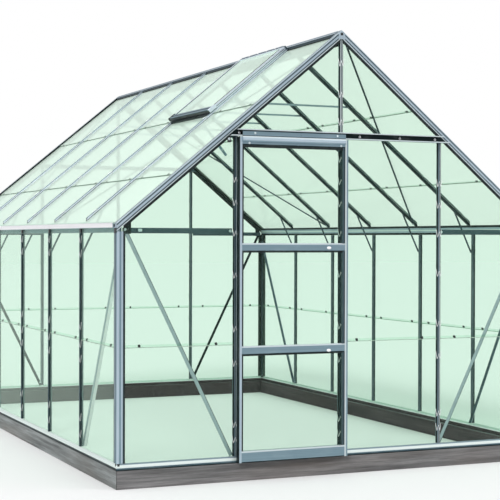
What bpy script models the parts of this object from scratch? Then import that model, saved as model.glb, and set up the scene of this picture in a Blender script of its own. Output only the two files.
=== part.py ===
"""Walk-in greenhouse: aluminium glazing bars and glass on a low timber base.

Four bays wide and six bays long, with a sliding door in the front gable and
one hinged roof vent. Metres, +Z up, the front gable faces -Y, and the origin
is at the middle of the bottom. Every sub-part is one named object.
"""
import math

import bmesh
import bpy
from mathutils import Matrix, Vector

# Overall frame
BAY = 0.62                    # spacing of the glazing bars, for panes 610 mm wide
BARS_LONG = 5                 # bars along each side, between the gables
FRAME_HALF_WIDTH = 1.276      # centre to the outer face of a side wall
FRAME_LENGTH = 3.746          # outer face to outer face of the gables
EAVE_Z = 1.348                # where the roof's outer surface meets the wall's outer face
APEX_Z = 2.396
DOOR_PROUD = 0.0435           # how far the door's hanger stands out from the front gable
GAP = 0.0003                  # clearance between touching pieces

# Base and sill
BASE_HEIGHT = 0.095
BASE_THICKNESS = 0.045
SILL_HEIGHT = 0.036
SILL_DEPTH = 0.030
SILL_UPSTAND = 0.009          # outer lip that holds the foot of the glass
SILL_LEDGE = 0.024            # height of the ledge behind it

# Glazing bar: a rib outside, a flange that the glass lies on, a web inside
GLASS_SETBACK = 0.0155        # outer face of the frame to the inner face of the glass
GLASS_THICKNESS = 0.003
FLANGE_HALF = 0.0115
FLANGE_THICKNESS = 0.002
RIB_HALF = 0.006
RIB_HEIGHT = 0.012
WEB_HALF = 0.008
WEB_DEPTH = 0.0065
SLOT_HALF = 0.0068            # half width of the slot where a rib passes the glass

# Corner posts, gable rafters, eaves and ridge
POST_COVER = 0.038
POST_BLOCK = 0.024
COVER_THICKNESS = 0.0118
CORNER_RADIUS = 0.012
RAFTER_COVER = 0.034
RAFTER_BLOCK = 0.020
RAFTER_DEPTH = 0.030
RAFTER_SHELF_DEPTH = 0.042
RAFTER_SHELF_TOP = 0.0158
EAVE_INNER = 0.040
EAVE_DROP = 0.050
GUTTER_DROP = 0.025
GUTTER_PROUD = 0.008
GUTTER_WALL = 0.004
RIDGE_HALF = 0.022
RIDGE_DEPTH = 0.078

# Sliding door and its track
TRACK_TOP = 1.841
TRACK_BOTTOM = 1.804
TRACK_DEPTH = 0.036
TRACK_WALL = 0.0025
DOOR_LEFT = -0.618
DOOR_RIGHT = 0.024
DOOR_BOTTOM = 0.100
DOOR_TOP = 1.800
DOOR_FRONT = 0.034            # door faces, measured out from the front gable
DOOR_REAR = 0.008
STILE_WIDTH = 0.018
DOOR_GLASS_FRONT = 0.018
GROOVE_FRONT = 0.0187
GROOVE_REAR = 0.0143
GROOVE_DEPTH = 0.005
ROLLER_RADIUS = 0.011
ROLLER_X = (-0.50, -0.09)

# Roof vent, in the second bay of the left slope; distances run down the slope from the apex
VENT_TOP = 0.030
VENT_BOTTOM = 0.652
VENT_HALF = 0.318
VENT_THICKNESS = 0.018
VENT_LIFT = 0.016             # underside of the vent, out from the inner face of the glass
VENT_STILE = 0.030
VENT_BOTTOM_RAIL = 0.045
CILL_TOP = 0.633
CILL_BOTTOM = 0.663
CILL_DEPTH = 0.012            # below the roof bars' glass line
STAY_PIVOT = 0.610
STAY_LENGTH = 0.300
STAY_WIDTH = 0.016
STAY_THICKNESS = 0.003
STAY_PIVOT_DROP = 0.010       # pivot below the underside of the vent

# Derived places
FRONT = -(FRAME_LENGTH + DOOR_PROUD) / 2 + DOOR_PROUD
BACK = FRONT + FRAME_LENGTH
BAR_LINES = [FRONT + FRAME_LENGTH / 2 + (i - BARS_LONG // 2) * BAY for i in range(BARS_LONG)]
SLOPE = math.atan2(APEX_Z - EAVE_Z, FRAME_HALF_WIDTH)
SIN, COS, TAN = math.sin(SLOPE), math.cos(SLOPE), math.tan(SLOPE)
SILL_Z = BASE_HEIGHT + GAP
POST_FOOT = SILL_Z + SILL_HEIGHT + GAP
GLASS_FOOT = SILL_Z + SILL_LEDGE + GAP
VENT_Y = (BAR_LINES[0] + BAR_LINES[1]) / 2
ROLLER_Z = TRACK_BOTTOM + TRACK_WALL + GAP + ROLLER_RADIUS
ROLLER_Y = FRONT - 0.0165

# Colour, roughness, metallic and alpha of each finish
FINISHES = {
    "aluminium": ((0.44, 0.50, 0.56), 0.38, 1.0, 1.0),
    "glass": ((0.70, 0.88, 0.78), 0.04, 0.0, 0.35),
    "timber": ((0.20, 0.20, 0.19), 0.80, 0.0, 1.0),
    "plastic": ((0.04, 0.05, 0.05), 0.50, 0.0, 1.0),
}


def clear_scene():
    for item in list(bpy.data.objects):
        bpy.data.objects.remove(item)


def collection(name):
    group = bpy.data.collections.new(name)
    bpy.context.scene.collection.children.link(group)
    return group


def material(name, finish):
    colour, roughness, metallic, alpha = FINISHES[finish]
    made = bpy.data.materials.new(name + "_" + finish)
    made.use_nodes = True
    shader = made.node_tree.nodes["Principled BSDF"]
    shader.inputs["Base Color"].default_value = (*colour, 1.0)
    shader.inputs["Roughness"].default_value = roughness
    shader.inputs["Metallic"].default_value = metallic
    shader.inputs["Alpha"].default_value = alpha
    return made


def add_piece(name, mesh, finish, place, parent=None):
    piece = bpy.data.objects.new(name, mesh)
    PARTS.objects.link(piece)
    mesh.materials.append(material(name, finish))
    piece.parent = parent
    piece.matrix_world = place
    return piece


def pivot(name, location):
    """An empty that a moving group hangs from, on its joint's axis."""
    empty = bpy.data.objects.new(name, None)
    empty.location = location
    PARTS.objects.link(empty)
    bpy.context.view_layer.update()
    return empty


def outline_mesh(outline, depth, holes=()):
    """A flat outline extruded by depth along local Z, as one closed mesh."""
    curve = bpy.data.curves.new("outline", "CURVE")
    curve.dimensions = "2D"
    curve.fill_mode = "BOTH"
    curve.extrude = depth / 2
    for ring in (outline, *holes):
        spline = curve.splines.new("POLY")
        spline.points.add(len(ring) - 1)
        spline.use_cyclic_u = True
        for point, (x, y) in zip(spline.points, ring):
            point.co = (x, y, 0.0, 1.0)
    guide = bpy.data.objects.new("outline", curve)
    PARTS.objects.link(guide)
    bpy.context.view_layer.update()
    evaluated = guide.evaluated_get(bpy.context.evaluated_depsgraph_get())
    mesh = bpy.data.meshes.new_from_object(evaluated)
    bpy.data.objects.remove(guide)
    shape = bmesh.new()
    shape.from_mesh(mesh)
    bmesh.ops.remove_doubles(shape, verts=shape.verts, dist=0.00005)
    bmesh.ops.translate(shape, verts=shape.verts, vec=(0.0, 0.0, depth / 2))
    bmesh.ops.recalc_face_normals(shape, faces=shape.faces)
    shape.to_mesh(mesh)
    shape.free()
    return mesh


def slide_end(mesh, place, length, at_end, plane):
    """Slides one end's corners along the bar until they lie on a cutting plane."""
    point, normal = Vector(plane[0]), Vector(plane[1])
    along = place.to_3x3() @ Vector((0.0, 0.0, 1.0))
    for vertex in mesh.vertices:
        if (vertex.co.z > length / 2) == at_end:
            offset = point - place @ vertex.co
            vertex.co.z += offset.dot(normal) / along.dot(normal)


def bar(name, finish, outline, start, end, outward, start_cut=None, end_cut=None, parent=None):
    """An outline run from start to end. Its local Y is outward and its local Z is along."""
    start, end, outward = Vector(start), Vector(end), Vector(outward)
    along = (end - start).normalized()
    place = Matrix((outward.cross(along), outward, along)).transposed().to_4x4()
    place.translation = start
    length = (end - start).length
    mesh = outline_mesh(outline, length)
    for cut, at_end in ((start_cut, False), (end_cut, True)):
        if cut:
            slide_end(mesh, place, length, at_end, cut)
    return add_piece(name, mesh, finish, place, parent)


def bar_along_y(name, finish, outline, y_low, y_high, parent=None):
    """An outline in X and Z, run along Y."""
    return bar(name, finish, outline, (0, y_high, 0), (0, y_low, 0), (0, 0, 1), parent=parent)


def bar_along_x(name, finish, outline, x_low, x_high, cuts=(None, None), parent=None):
    """An outline in Y and Z, run along X."""
    return bar(name, finish, outline, (x_low, 0, 0), (x_high, 0, 0), (0, 0, 1), *cuts, parent)


def bar_along_z(name, finish, outline, z_low, z_high, parent=None):
    """An outline in X and Y, run along Z."""
    return bar(name, finish, outline, (0, 0, z_low), (0, 0, z_high), (0, 1, 0), parent=parent)


def sheet(name, finish, outline, origin, outward, up, thickness, parent=None, holes=()):
    """A flat sheet, outlined across and up from its origin, and thickened outward."""
    outward, up = Vector(outward), Vector(up)
    place = Matrix((up.cross(outward), up, outward)).transposed().to_4x4()
    place.translation = Vector(origin)
    mesh = outline_mesh(outline, thickness, holes)
    return add_piece(name, mesh, finish, place, parent)


def rectangle(x_low, x_high, y_low, y_high):
    return [(x_low, y_low), (x_high, y_low), (x_high, y_high), (x_low, y_high)]


def arc(x, y, radius, start, stop, steps):
    """Points on an arc, with its angles in degrees."""
    angles = [math.radians(start + (stop - start) * i / steps) for i in range(steps + 1)]
    return [(x + radius * math.cos(a), y + radius * math.sin(a)) for a in angles]


def comb(slots, slot_ends, tooth_starts, left, right, far_edge):
    """A sheet's outline with a slot, open at its near edge, wherever a rib passes."""
    outline = []
    near_left = left
    for slot, slot_end, start in zip(slots, slot_ends, tooth_starts):
        outline += [(near_left, start), (slot - SLOT_HALF, start)]
        outline += [(slot - SLOT_HALF, slot_end), (slot + SLOT_HALF, slot_end)]
        near_left = slot + SLOT_HALF
    outline += [(near_left, tooth_starts[-1]), (right, tooth_starts[-1])]
    return outline + list(far_edge)


def cutter(name, mesh, place):
    guide = bpy.data.objects.new(name, mesh)
    CUTTERS.objects.link(guide)
    guide.matrix_world = place
    guide.hide_render = True
    guide.display_type = "WIRE"
    return guide


def combine(piece, guide, operation):
    modifier = piece.modifiers.new(guide.name, "BOOLEAN")
    modifier.solver = "EXACT"
    modifier.operation = operation
    modifier.object = guide


def round_edges(piece, width):
    modifier = piece.modifiers.new("rounded_edges", "BEVEL")
    modifier.width = width
    modifier.segments = 2
    modifier.limit_method = "ANGLE"
    modifier.angle_limit = math.radians(40)


def slope_vectors(side):
    """Up the slope and out of the roof, for side -1 (left) or 1 (right)."""
    return Vector((-side * COS, 0, SIN)), Vector((side * SIN, 0, COS))


def slope_height(x, inset):
    """Height of the line that lies inset below the roof's outer surface, at x."""
    return APEX_Z - inset / COS - abs(x) * TAN


def slope_distance(x, inset):
    """Distance down the slope from the apex to the point at x on that same line."""
    return (abs(x) + inset * SIN) / COS


def vent_matrix(distance, out):
    """A frame on the left slope: X runs +Y, Y down the slope, Z out of the roof."""
    up, outward = slope_vectors(-1)
    place = Matrix((Vector((0, 1, 0)), -up, outward)).transposed().to_4x4()
    surface = Vector((0, VENT_Y, APEX_Z)) - up * distance
    place.translation = surface + outward * (out - GLASS_SETBACK)
    return place


def glazing_bar_outline():
    half = [
        (RIB_HALF, RIB_HEIGHT), (RIB_HALF, 0.0), (FLANGE_HALF, 0.0),
        (FLANGE_HALF, -FLANGE_THICKNESS), (WEB_HALF, -FLANGE_THICKNESS), (WEB_HALF, -WEB_DEPTH),
    ]
    return half + [(-x, y) for x, y in reversed(half)]


def make_base():
    half, length = FRAME_HALF_WIDTH, FRAME_LENGTH
    outer = rectangle(-half, half, FRONT, BACK)
    inner = rectangle(-half + BASE_THICKNESS, half - BASE_THICKNESS,
                      FRONT + BASE_THICKNESS, FRONT + length - BASE_THICKNESS)
    mesh = outline_mesh(outer, BASE_HEIGHT, [inner])
    base = add_piece("base_frame", mesh, "timber", Matrix())
    round_edges(base, 0.003)


def make_sill():
    def ring(inset_outer, inset_inner, height):
        half = FRAME_HALF_WIDTH
        outer, inner = (rectangle(-half + d, half - d, FRONT + d, BACK - d)
                        for d in (inset_outer, inset_inner))
        return outline_mesh(outer, height, [inner])

    sill = add_piece("sill_frame", ring(0.0, SILL_DEPTH, SILL_HEIGHT), "aluminium",
                     Matrix.Translation((0, 0, SILL_Z)))
    rebate = cutter("sill_rebate", ring(SILL_UPSTAND, SILL_DEPTH + 0.010, SILL_HEIGHT),
                    Matrix.Translation((0, 0, SILL_Z + SILL_LEDGE)))
    combine(sill, rebate, "DIFFERENCE")


def make_corner_posts():
    outline = arc(CORNER_RADIUS, CORNER_RADIUS, CORNER_RADIUS, 180, 270, 6) + [
        (POST_COVER, 0.0), (POST_COVER, COVER_THICKNESS), (POST_BLOCK, COVER_THICKNESS),
        (POST_BLOCK, POST_BLOCK), (COVER_THICKNESS, POST_BLOCK), (COVER_THICKNESS, POST_COVER),
        (0.0, POST_COVER),
    ]
    top = EAVE_Z - RAFTER_COVER / COS - GAP
    for end, face, inward in (("front", FRONT, 1), ("back", BACK, -1)):
        for side, sign in (("left", -1), ("right", 1)):
            placed = [(sign * (FRAME_HALF_WIDTH - x), face + inward * y) for x, y in outline]
            bar_along_z(f"corner_post_{end}_{side}", "aluminium", placed, POST_FOOT, top)


def make_side_posts():
    top = EAVE_Z - EAVE_DROP - GAP
    for side, sign in (("left", -1), ("right", 1)):
        x = sign * (FRAME_HALF_WIDTH - GLASS_SETBACK)
        for number, y in enumerate(BAR_LINES, 1):
            bar(f"{side}_post_{number}", "aluminium", glazing_bar_outline(),
                (x, y, POST_FOOT), (x, y, top), (sign, 0, 0))


def make_rafters():
    for side, sign in (("left", -1), ("right", 1)):
        up, outward = slope_vectors(sign)
        foot_x = sign * (FRAME_HALF_WIDTH - EAVE_INNER - GAP)
        head_x = sign * (RIDGE_HALF + GAP)
        for number, y in enumerate(BAR_LINES, 1):
            start = Vector((foot_x, y, slope_height(foot_x, GLASS_SETBACK)))
            end = Vector((head_x, y, slope_height(head_x, GLASS_SETBACK)))
            bar(f"{side}_rafter_{number}", "aluminium", glazing_bar_outline(), start, end, outward,
                ((foot_x, 0, 0), (1, 0, 0)), ((head_x, 0, 0), (1, 0, 0)))


def make_eaves():
    outline = [
        (-GUTTER_PROUD, 0.0), (GUTTER_WALL - GUTTER_PROUD, 0.0),
        (GUTTER_WALL - GUTTER_PROUD, GUTTER_WALL - GUTTER_DROP),
        (EAVE_INNER - GUTTER_WALL, GUTTER_WALL - GUTTER_DROP),
        (EAVE_INNER - GUTTER_WALL, 0.008), (EAVE_INNER, 0.008), (EAVE_INNER, -EAVE_DROP),
        (GLASS_SETBACK + GAP, -EAVE_DROP), (GLASS_SETBACK + GAP, -GUTTER_DROP),
        (-GUTTER_PROUD, -GUTTER_DROP),
    ]
    for side, sign in (("left", -1), ("right", 1)):
        placed = [(sign * (FRAME_HALF_WIDTH - x), EAVE_Z + z) for x, z in outline]
        bar_along_y(f"eave_{side}", "aluminium", placed,
                    FRONT + RAFTER_SHELF_DEPTH + GAP, BACK - RAFTER_SHELF_DEPTH - GAP)


def make_ridge():
    def glass_line(x, out):
        return slope_height(x, GLASS_SETBACK - out)

    groove = RIDGE_HALF - 0.0085
    above, below = GLASS_THICKNESS + 0.001, -0.0004
    half = [
        (0.0, APEX_Z), (RIDGE_HALF, APEX_Z - 0.016),
        (RIDGE_HALF, glass_line(RIDGE_HALF, above)), (groove, glass_line(groove, above)),
        (groove, glass_line(groove, below)), (RIDGE_HALF, glass_line(RIDGE_HALF, below)),
        (RIDGE_HALF, APEX_Z - RIDGE_DEPTH),
    ]
    outline = half + [(-x, z) for x, z in reversed(half[1:])]
    bar_along_y("ridge_bar", "aluminium", outline,
                FRONT + RAFTER_SHELF_DEPTH + GAP, BACK - RAFTER_SHELF_DEPTH - GAP)


def make_gable_rafters():
    outline = [
        (0.0, 0.0), (RAFTER_DEPTH, 0.0), (RAFTER_DEPTH, -RAFTER_SHELF_TOP),
        (RAFTER_SHELF_DEPTH, -RAFTER_SHELF_TOP), (RAFTER_SHELF_DEPTH, -RAFTER_BLOCK),
        (COVER_THICKNESS, -RAFTER_BLOCK), (COVER_THICKNESS, -RAFTER_COVER), (0.0, -RAFTER_COVER),
    ]
    for end, face, inward in (("front", FRONT, 1), ("back", BACK, -1)):
        for side, sign in (("left", -1), ("right", 1)):
            up, outward = slope_vectors(sign)
            placed = [(-sign * inward * x, w) for x, w in outline]
            bar(f"gable_rafter_{end}_{side}", "aluminium", placed,
                (sign * FRAME_HALF_WIDTH, face, EAVE_Z), (sign * GAP, face, APEX_Z - GAP * TAN),
                outward, ((sign * FRAME_HALF_WIDTH, 0, 0), (1, 0, 0)), ((sign * GAP, 0, 0), (1, 0, 0)))


def gable_post(name, x, face, outward):
    """A gable's glazing bar, cut at its top to the slope of the rafter above it."""
    y = face - outward * GLASS_SETBACK
    inset = RAFTER_COVER + 0.0005
    if x:
        sign = math.copysign(1, x)
        cut = ((x, y, slope_height(x, inset)), slope_vectors(sign)[1])
        top = slope_height(x, inset)
    else:
        cut = None
        top = slope_height(FLANGE_HALF, inset)
    bar(name, "aluminium", glazing_bar_outline(), (x, y, POST_FOOT), (x, y, top),
        (0, outward, 0), end_cut=cut)


def make_gable_posts():
    for name, x in (("front_jamb_post", -BAY), ("front_centre_post", 0.0), ("front_side_post", BAY)):
        gable_post(name, x, FRONT, -1)
    for name, x in (("back_post_left", -BAY), ("back_post_centre", 0.0), ("back_post_right", BAY)):
        gable_post(name, x, BACK, 1)


def slope_cuts():
    """End cuts that follow the inner edges of the gable rafters, left and right."""
    edge_z = slope_height(BAY, RAFTER_COVER)
    return [((sign * BAY, 0, edge_z), slope_vectors(sign)[1]) for sign in (-1, 1)]


def make_back_head_rail():
    inner = BACK - GLASS_SETBACK - WEB_DEPTH - GAP
    outline = rectangle(inner - 0.018, inner, TRACK_BOTTOM + 0.008, TRACK_TOP)
    bar_along_x("back_head_rail", "aluminium", outline, -BAY, BAY, slope_cuts())


def make_track():
    """The channel that the door hangs in, open to the front."""
    back, front, wall, lip = FRONT - GAP, FRONT - TRACK_DEPTH, TRACK_WALL, 0.002
    outline = [
        (back, TRACK_BOTTOM), (back, TRACK_TOP), (front, TRACK_TOP),
        (front, TRACK_TOP - wall - 0.003), (front + lip, TRACK_TOP - wall - 0.003),
        (front + lip, TRACK_TOP - wall), (back - wall, TRACK_TOP - wall),
        (back - wall, TRACK_BOTTOM + wall), (front + lip, TRACK_BOTTOM + wall),
        (front + lip, TRACK_BOTTOM + wall + 0.003), (front, TRACK_BOTTOM + wall + 0.003),
        (front, TRACK_BOTTOM),
    ]
    bar_along_x("front_head_rail", "aluminium", outline, -BAY, BAY, slope_cuts())


def make_wall_glass():
    half = FRAME_LENGTH / 2 - POST_BLOCK - 0.0015
    top = EAVE_Z - GUTTER_DROP - GAP
    middle = (FRONT + BACK) / 2
    slots = [y - middle for y in BAR_LINES]
    slot_ends = [EAVE_Z - EAVE_DROP] * len(slots)
    outline = comb(slots, slot_ends, [GLASS_FOOT] * (len(slots) + 1), -half, half,
                   [(half, top), (-half, top)])
    for side, sign in (("left", -1), ("right", 1)):
        x = sign * (FRAME_HALF_WIDTH - GLASS_SETBACK + GAP)
        sheet(f"{side}_wall_glass", "glass", outline, (x, middle, 0), (sign, 0, 0), (0, 0, 1),
              GLASS_THICKNESS)


def make_roof_glass():
    half = FRAME_LENGTH / 2 - RAFTER_DEPTH - GAP
    middle = (FRONT + BACK) / 2
    head = slope_distance(RIDGE_HALF - 0.0075, GLASS_SETBACK)
    eave_end = slope_distance(FRAME_HALF_WIDTH - 0.024, GLASS_SETBACK)
    slot_end = slope_distance(FRAME_HALF_WIDTH - EAVE_INNER, GLASS_SETBACK) + 0.001
    slots = [y - middle for y in BAR_LINES]
    for side, sign in (("left", -1), ("right", 1)):
        up, outward = slope_vectors(sign)
        starts = [head] * (len(slots) + 1)
        if side == "left":
            starts[1] = CILL_BOTTOM + 0.001
        outline = comb(slots, [slot_end] * len(slots), starts, -half, half,
                       [(half, eave_end), (-half, eave_end)])
        origin = Vector((0, middle, APEX_Z)) - outward * (GLASS_SETBACK - GAP)
        sheet(f"roof_glass_{side}", "glass", outline, origin, outward, -up, GLASS_THICKNESS)


def make_gable_glass():
    half = FRAME_HALF_WIDTH - POST_BLOCK - 0.0015
    inset = RAFTER_BLOCK + 0.0015
    slots = [-BAY, 0.0, BAY]
    post_inset = RAFTER_COVER - 0.0005
    slot_ends = [slope_height(BAY - SLOT_HALF, post_inset), slope_height(FLANGE_HALF, post_inset),
                 slope_height(BAY - SLOT_HALF, post_inset)]
    far_edge = [(half, slope_height(half, inset)), (0.0, slope_height(0.0, inset)),
                (-half, slope_height(half, inset))]
    doorway_head = TRACK_BOTTOM + 0.008
    for end, face, outward, second in (("front", FRONT, -1, doorway_head), ("back", BACK, 1, GLASS_FOOT)):
        starts = [GLASS_FOOT, second, GLASS_FOOT, GLASS_FOOT]
        outline = comb(slots, slot_ends, starts, -half, half, far_edge)
        y = face - outward * (GLASS_SETBACK - GAP)
        sheet(f"{end}_glass", "glass", outline, (0, y, 0), (0, outward, 0), (0, 0, 1),
              GLASS_THICKNESS)


def stile_outline(edge, sign):
    """A door stile in plan: edge is its outer side, and sign points to the glass."""
    inner = edge + sign * STILE_WIDTH
    groove = inner - sign * GROOVE_DEPTH
    return [
        (edge, FRONT - DOOR_FRONT), (inner, FRONT - DOOR_FRONT), (inner, FRONT - GROOVE_FRONT),
        (groove, FRONT - GROOVE_FRONT), (groove, FRONT - GROOVE_REAR), (inner, FRONT - GROOVE_REAR),
        (inner, FRONT - DOOR_REAR), (edge, FRONT - DOOR_REAR),
    ]


def make_door():
    hang = pivot("door_slide_axis", (DOOR_LEFT, FRONT, ROLLER_Z))
    for name, edge, sign in (("left", DOOR_LEFT, 1), ("right", DOOR_RIGHT, -1)):
        bar_along_z(f"door_{name}_stile", "aluminium", stile_outline(edge, sign),
                    DOOR_BOTTOM, DOOR_TOP, hang)
    left, right = DOOR_LEFT + STILE_WIDTH + GAP, DOOR_RIGHT - STILE_WIDTH - GAP
    for name, outline in door_rail_outlines().items():
        placed = [(FRONT - y, z) for y, z in outline]
        bar_along_x(name, "aluminium", placed, left, right, parent=hang)
    reach = GROOVE_DEPTH - 0.0005
    outline = rectangle(left - reach, right + reach, 0.1535, 1.7630)
    sheet("door_glass", "glass", outline, (0, FRONT - GROOVE_REAR - 0.0007, 0), (0, -1, 0),
          (0, 0, 1), GLASS_THICKNESS, hang)
    return hang


def door_rail_outlines():
    """Door rails in section: distance out from the gable, and height."""
    hanger_front, hanger_back = TRACK_DEPTH + 0.0035, TRACK_DEPTH + 0.0005
    lip = DOOR_PROUD - hanger_front
    lip_top, lip_bottom = 1.803, 1.775
    bulge = [(hanger_front + lip * math.sin(math.pi * i / 6),
              lip_top + (lip_bottom - lip_top) * i / 6) for i in range(7)]
    groove_top = 1.7635
    hanger = [(hanger_back, TRACK_TOP - 0.010), (hanger_front, TRACK_TOP - 0.010), *bulge,
              (DOOR_FRONT, lip_bottom), (DOOR_FRONT, 1.757), (GROOVE_FRONT, 1.757),
              (GROOVE_FRONT, groove_top), (GROOVE_REAR, groove_top), (GROOVE_REAR, 1.757),
              (DOOR_REAR, 1.757), (DOOR_REAR, DOOR_TOP), (hanger_back, DOOR_TOP)]
    bottom = [(DOOR_FRONT, DOOR_BOTTOM), (DOOR_FRONT, 0.160), (GROOVE_FRONT, 0.160),
              (GROOVE_FRONT, 0.153), (GROOVE_REAR, 0.153), (GROOVE_REAR, 0.160),
              (DOOR_REAR, 0.160), (DOOR_REAR, DOOR_BOTTOM)]

    def middle(top, height):
        back = DOOR_GLASS_FRONT + GAP
        return [(back, top - height), (back, top), (DOOR_FRONT - 0.004, top),
                (DOOR_FRONT, top - 0.006), (DOOR_FRONT, top - height + 0.006),
                (DOOR_FRONT - 0.004, top - height)]

    return {"door_hanger_rail": hanger, "door_bottom_rail": bottom,
            "door_upper_rail": middle(1.246, 0.043), "door_lower_rail": middle(0.708, 0.045)}


def make_rollers(hang):
    """Rollers turned about Y: each one's pin points to the front, into the hanger."""
    pin_end = ROLLER_Y - (FRONT - TRACK_DEPTH - 0.0002)
    profile = [(0.0, pin_end), (0.003, pin_end), (0.003, 0.005), (0.010, 0.005), (0.011, 0.004),
               (0.011, -0.004), (0.010, -0.005), (0.0, -0.005)]
    for name, x in zip(("left", "right"), ROLLER_X):
        mesh = bpy.data.meshes.new(f"door_roller_{name}")
        edges = [(i, i + 1) for i in range(len(profile) - 1)]
        mesh.from_pydata([(radius, 0.0, z) for radius, z in profile], edges, [])
        place = Matrix.Translation((x, ROLLER_Y, ROLLER_Z)) @ Matrix.Rotation(math.pi / 2, 4, "X")
        roller = add_piece(f"door_roller_{name}", mesh, "plastic", place, hang)
        screw = roller.modifiers.new("turned", "SCREW")
        screw.steps = screw.render_steps = 32
        screw.use_merge_vertices = True
        screw.merge_threshold = 0.00005


def make_vent():
    """The vent's sash, hinged at its top edge, with its glass in a rebate."""
    hinge = pivot("vent_hinge_axis", vent_matrix(VENT_TOP, VENT_LIFT).translation)
    length = VENT_BOTTOM - VENT_TOP
    window = rectangle(-VENT_HALF + VENT_STILE, VENT_HALF - VENT_STILE, VENT_STILE,
                       length - VENT_BOTTOM_RAIL)
    mesh = outline_mesh(rectangle(-VENT_HALF, VENT_HALF, 0.0, length), VENT_THICKNESS, [window])
    sash = add_piece("vent_frame", mesh, "aluminium", vent_matrix(VENT_TOP, VENT_LIFT), hinge)
    rebate_depth, overlap = 0.0045, 0.008
    glass_half = VENT_HALF - VENT_STILE + overlap
    glass_ends = (VENT_STILE - overlap, length - VENT_BOTTOM_RAIL + overlap)
    rebate_out = VENT_LIFT + VENT_THICKNESS - rebate_depth
    rebate = outline_mesh(rectangle(-glass_half, glass_half, *glass_ends), 0.010)
    combine(sash, cutter("vent_rebate", rebate, vent_matrix(VENT_TOP, rebate_out)), "DIFFERENCE")
    lug = outline_mesh(rectangle(STAY_THICKNESS / 2 + 0.0005, 0.006, -0.008, 0.008), 0.024)
    lug_out = VENT_LIFT - 0.018
    combine(sash, cutter("stay_lug", lug, vent_matrix(STAY_PIVOT, lug_out)), "UNION")
    edge = 0.0005
    outline = rectangle(-glass_half + edge, glass_half - edge, glass_ends[0] + edge,
                        glass_ends[1] - edge)
    glass = outline_mesh(outline, GLASS_THICKNESS)
    add_piece("vent_glass", glass, "glass", vent_matrix(VENT_TOP, rebate_out + GAP), hinge)
    return hinge


def make_vent_stay(hinge):
    """The flat stay: hinged on the lug, it hangs square to the roof when the vent is shut."""
    axis = vent_matrix(STAY_PIVOT, VENT_LIFT - STAY_PIVOT_DROP)
    swing = pivot("vent_stay_axis", axis.translation)
    swing.parent = hinge
    swing.matrix_parent_inverse = hinge.matrix_world.inverted()
    radius = STAY_WIDTH / 2
    outline = arc(0.0, 0.0, radius, 0, 180, 8) + arc(0.0, -STAY_LENGTH, radius, 180, 360, 8)
    holes = [arc(0.0, -0.045 - 0.055 * i, 0.0035, 0, 324, 9) for i in range(5)]
    mesh = outline_mesh(outline, STAY_THICKNESS, holes)
    across = axis @ Matrix.Translation((-STAY_THICKNESS / 2, 0, 0))
    turned = Matrix(((0, 0, 1, 0), (1, 0, 0, 0), (0, 1, 0, 0), (0, 0, 0, 1)))
    bpy.context.view_layer.update()
    add_piece("vent_stay", mesh, "aluminium", across @ turned, swing)


def make_vent_cill():
    half = BAY / 2 - FLANGE_HALF - GAP
    mesh = outline_mesh(rectangle(-half, half, 0.0, CILL_BOTTOM - CILL_TOP),
                        CILL_DEPTH + GLASS_SETBACK)
    cill = add_piece("vent_cill", mesh, "aluminium", vent_matrix(CILL_TOP, -CILL_DEPTH))
    arm = outline_mesh(rectangle(-0.0085, -0.0045, STAY_PIVOT - 0.010 - CILL_TOP, 0.010), 0.010)
    combine(cill, cutter("peg_arm", arm, vent_matrix(CILL_TOP, -0.014)), "UNION")


clear_scene()
PARTS = collection("greenhouse")
CUTTERS = collection("greenhouse_cutters")
make_base()
make_sill()
make_corner_posts()
make_side_posts()
make_eaves()
make_rafters()
make_ridge()
make_gable_rafters()
make_gable_posts()
make_back_head_rail()
make_track()
make_wall_glass()
make_roof_glass()
make_gable_glass()
make_rollers(make_door())
make_vent_stay(make_vent())
make_vent_cill()
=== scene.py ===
"""Looks of the walk-in greenhouse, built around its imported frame.

Metres, +Z up, front gable facing -Y. Drawn aluminium sections and single panes
replace the frame's plain bars and glass sheets; seals, clips, bolts, ties and
braces are added. The door, its rollers, the vent and its stay keep their bodies.
"""
import math

import bmesh
import bpy
from mathutils import Matrix, Vector


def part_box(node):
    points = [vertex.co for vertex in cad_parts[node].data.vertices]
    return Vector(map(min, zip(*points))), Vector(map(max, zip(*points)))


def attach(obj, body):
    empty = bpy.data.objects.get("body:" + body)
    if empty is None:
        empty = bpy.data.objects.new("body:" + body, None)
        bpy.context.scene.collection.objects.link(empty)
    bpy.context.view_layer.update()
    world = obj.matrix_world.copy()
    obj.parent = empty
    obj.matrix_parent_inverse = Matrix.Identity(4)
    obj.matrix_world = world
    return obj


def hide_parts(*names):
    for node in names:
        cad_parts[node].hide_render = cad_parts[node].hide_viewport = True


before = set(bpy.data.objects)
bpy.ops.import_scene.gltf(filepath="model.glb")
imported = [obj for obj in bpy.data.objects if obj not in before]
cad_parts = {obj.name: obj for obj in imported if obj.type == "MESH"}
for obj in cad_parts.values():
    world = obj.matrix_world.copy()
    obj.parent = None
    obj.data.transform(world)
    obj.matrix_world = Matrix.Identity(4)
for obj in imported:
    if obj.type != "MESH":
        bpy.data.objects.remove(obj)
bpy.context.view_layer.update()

GAP = 0.0003                      # clearance that touching pieces keep
SHARP_ANGLE = math.radians(35)    # edges above it aren't shaded smooth

# Sizes of the drawn sections, as the frame has them
RIB_HALF, RIB_HEIGHT = 0.006, 0.012
SIDE_RIB_HEIGHT, ROOF_RIB_HEIGHT = 0.0146, 0.0155
FLANGE_HALF, WEB_DEPTH, ROOF_WEB_DEPTH = 0.0115, 0.0065, 0.0110
EAVE_LIP, EAVE_INNER = 0.008, 0.040
RAFTER_COVER, RAFTER_BLOCK, RAFTER_DEPTH, RAFTER_SHELF = 0.034, 0.020, 0.030, 0.042
POST_COVER, POST_BLOCK, COVER_THICKNESS = 0.038, 0.024, 0.0118
GLASS_THICKNESS, STILE_WIDTH = 0.003, 0.018

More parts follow.
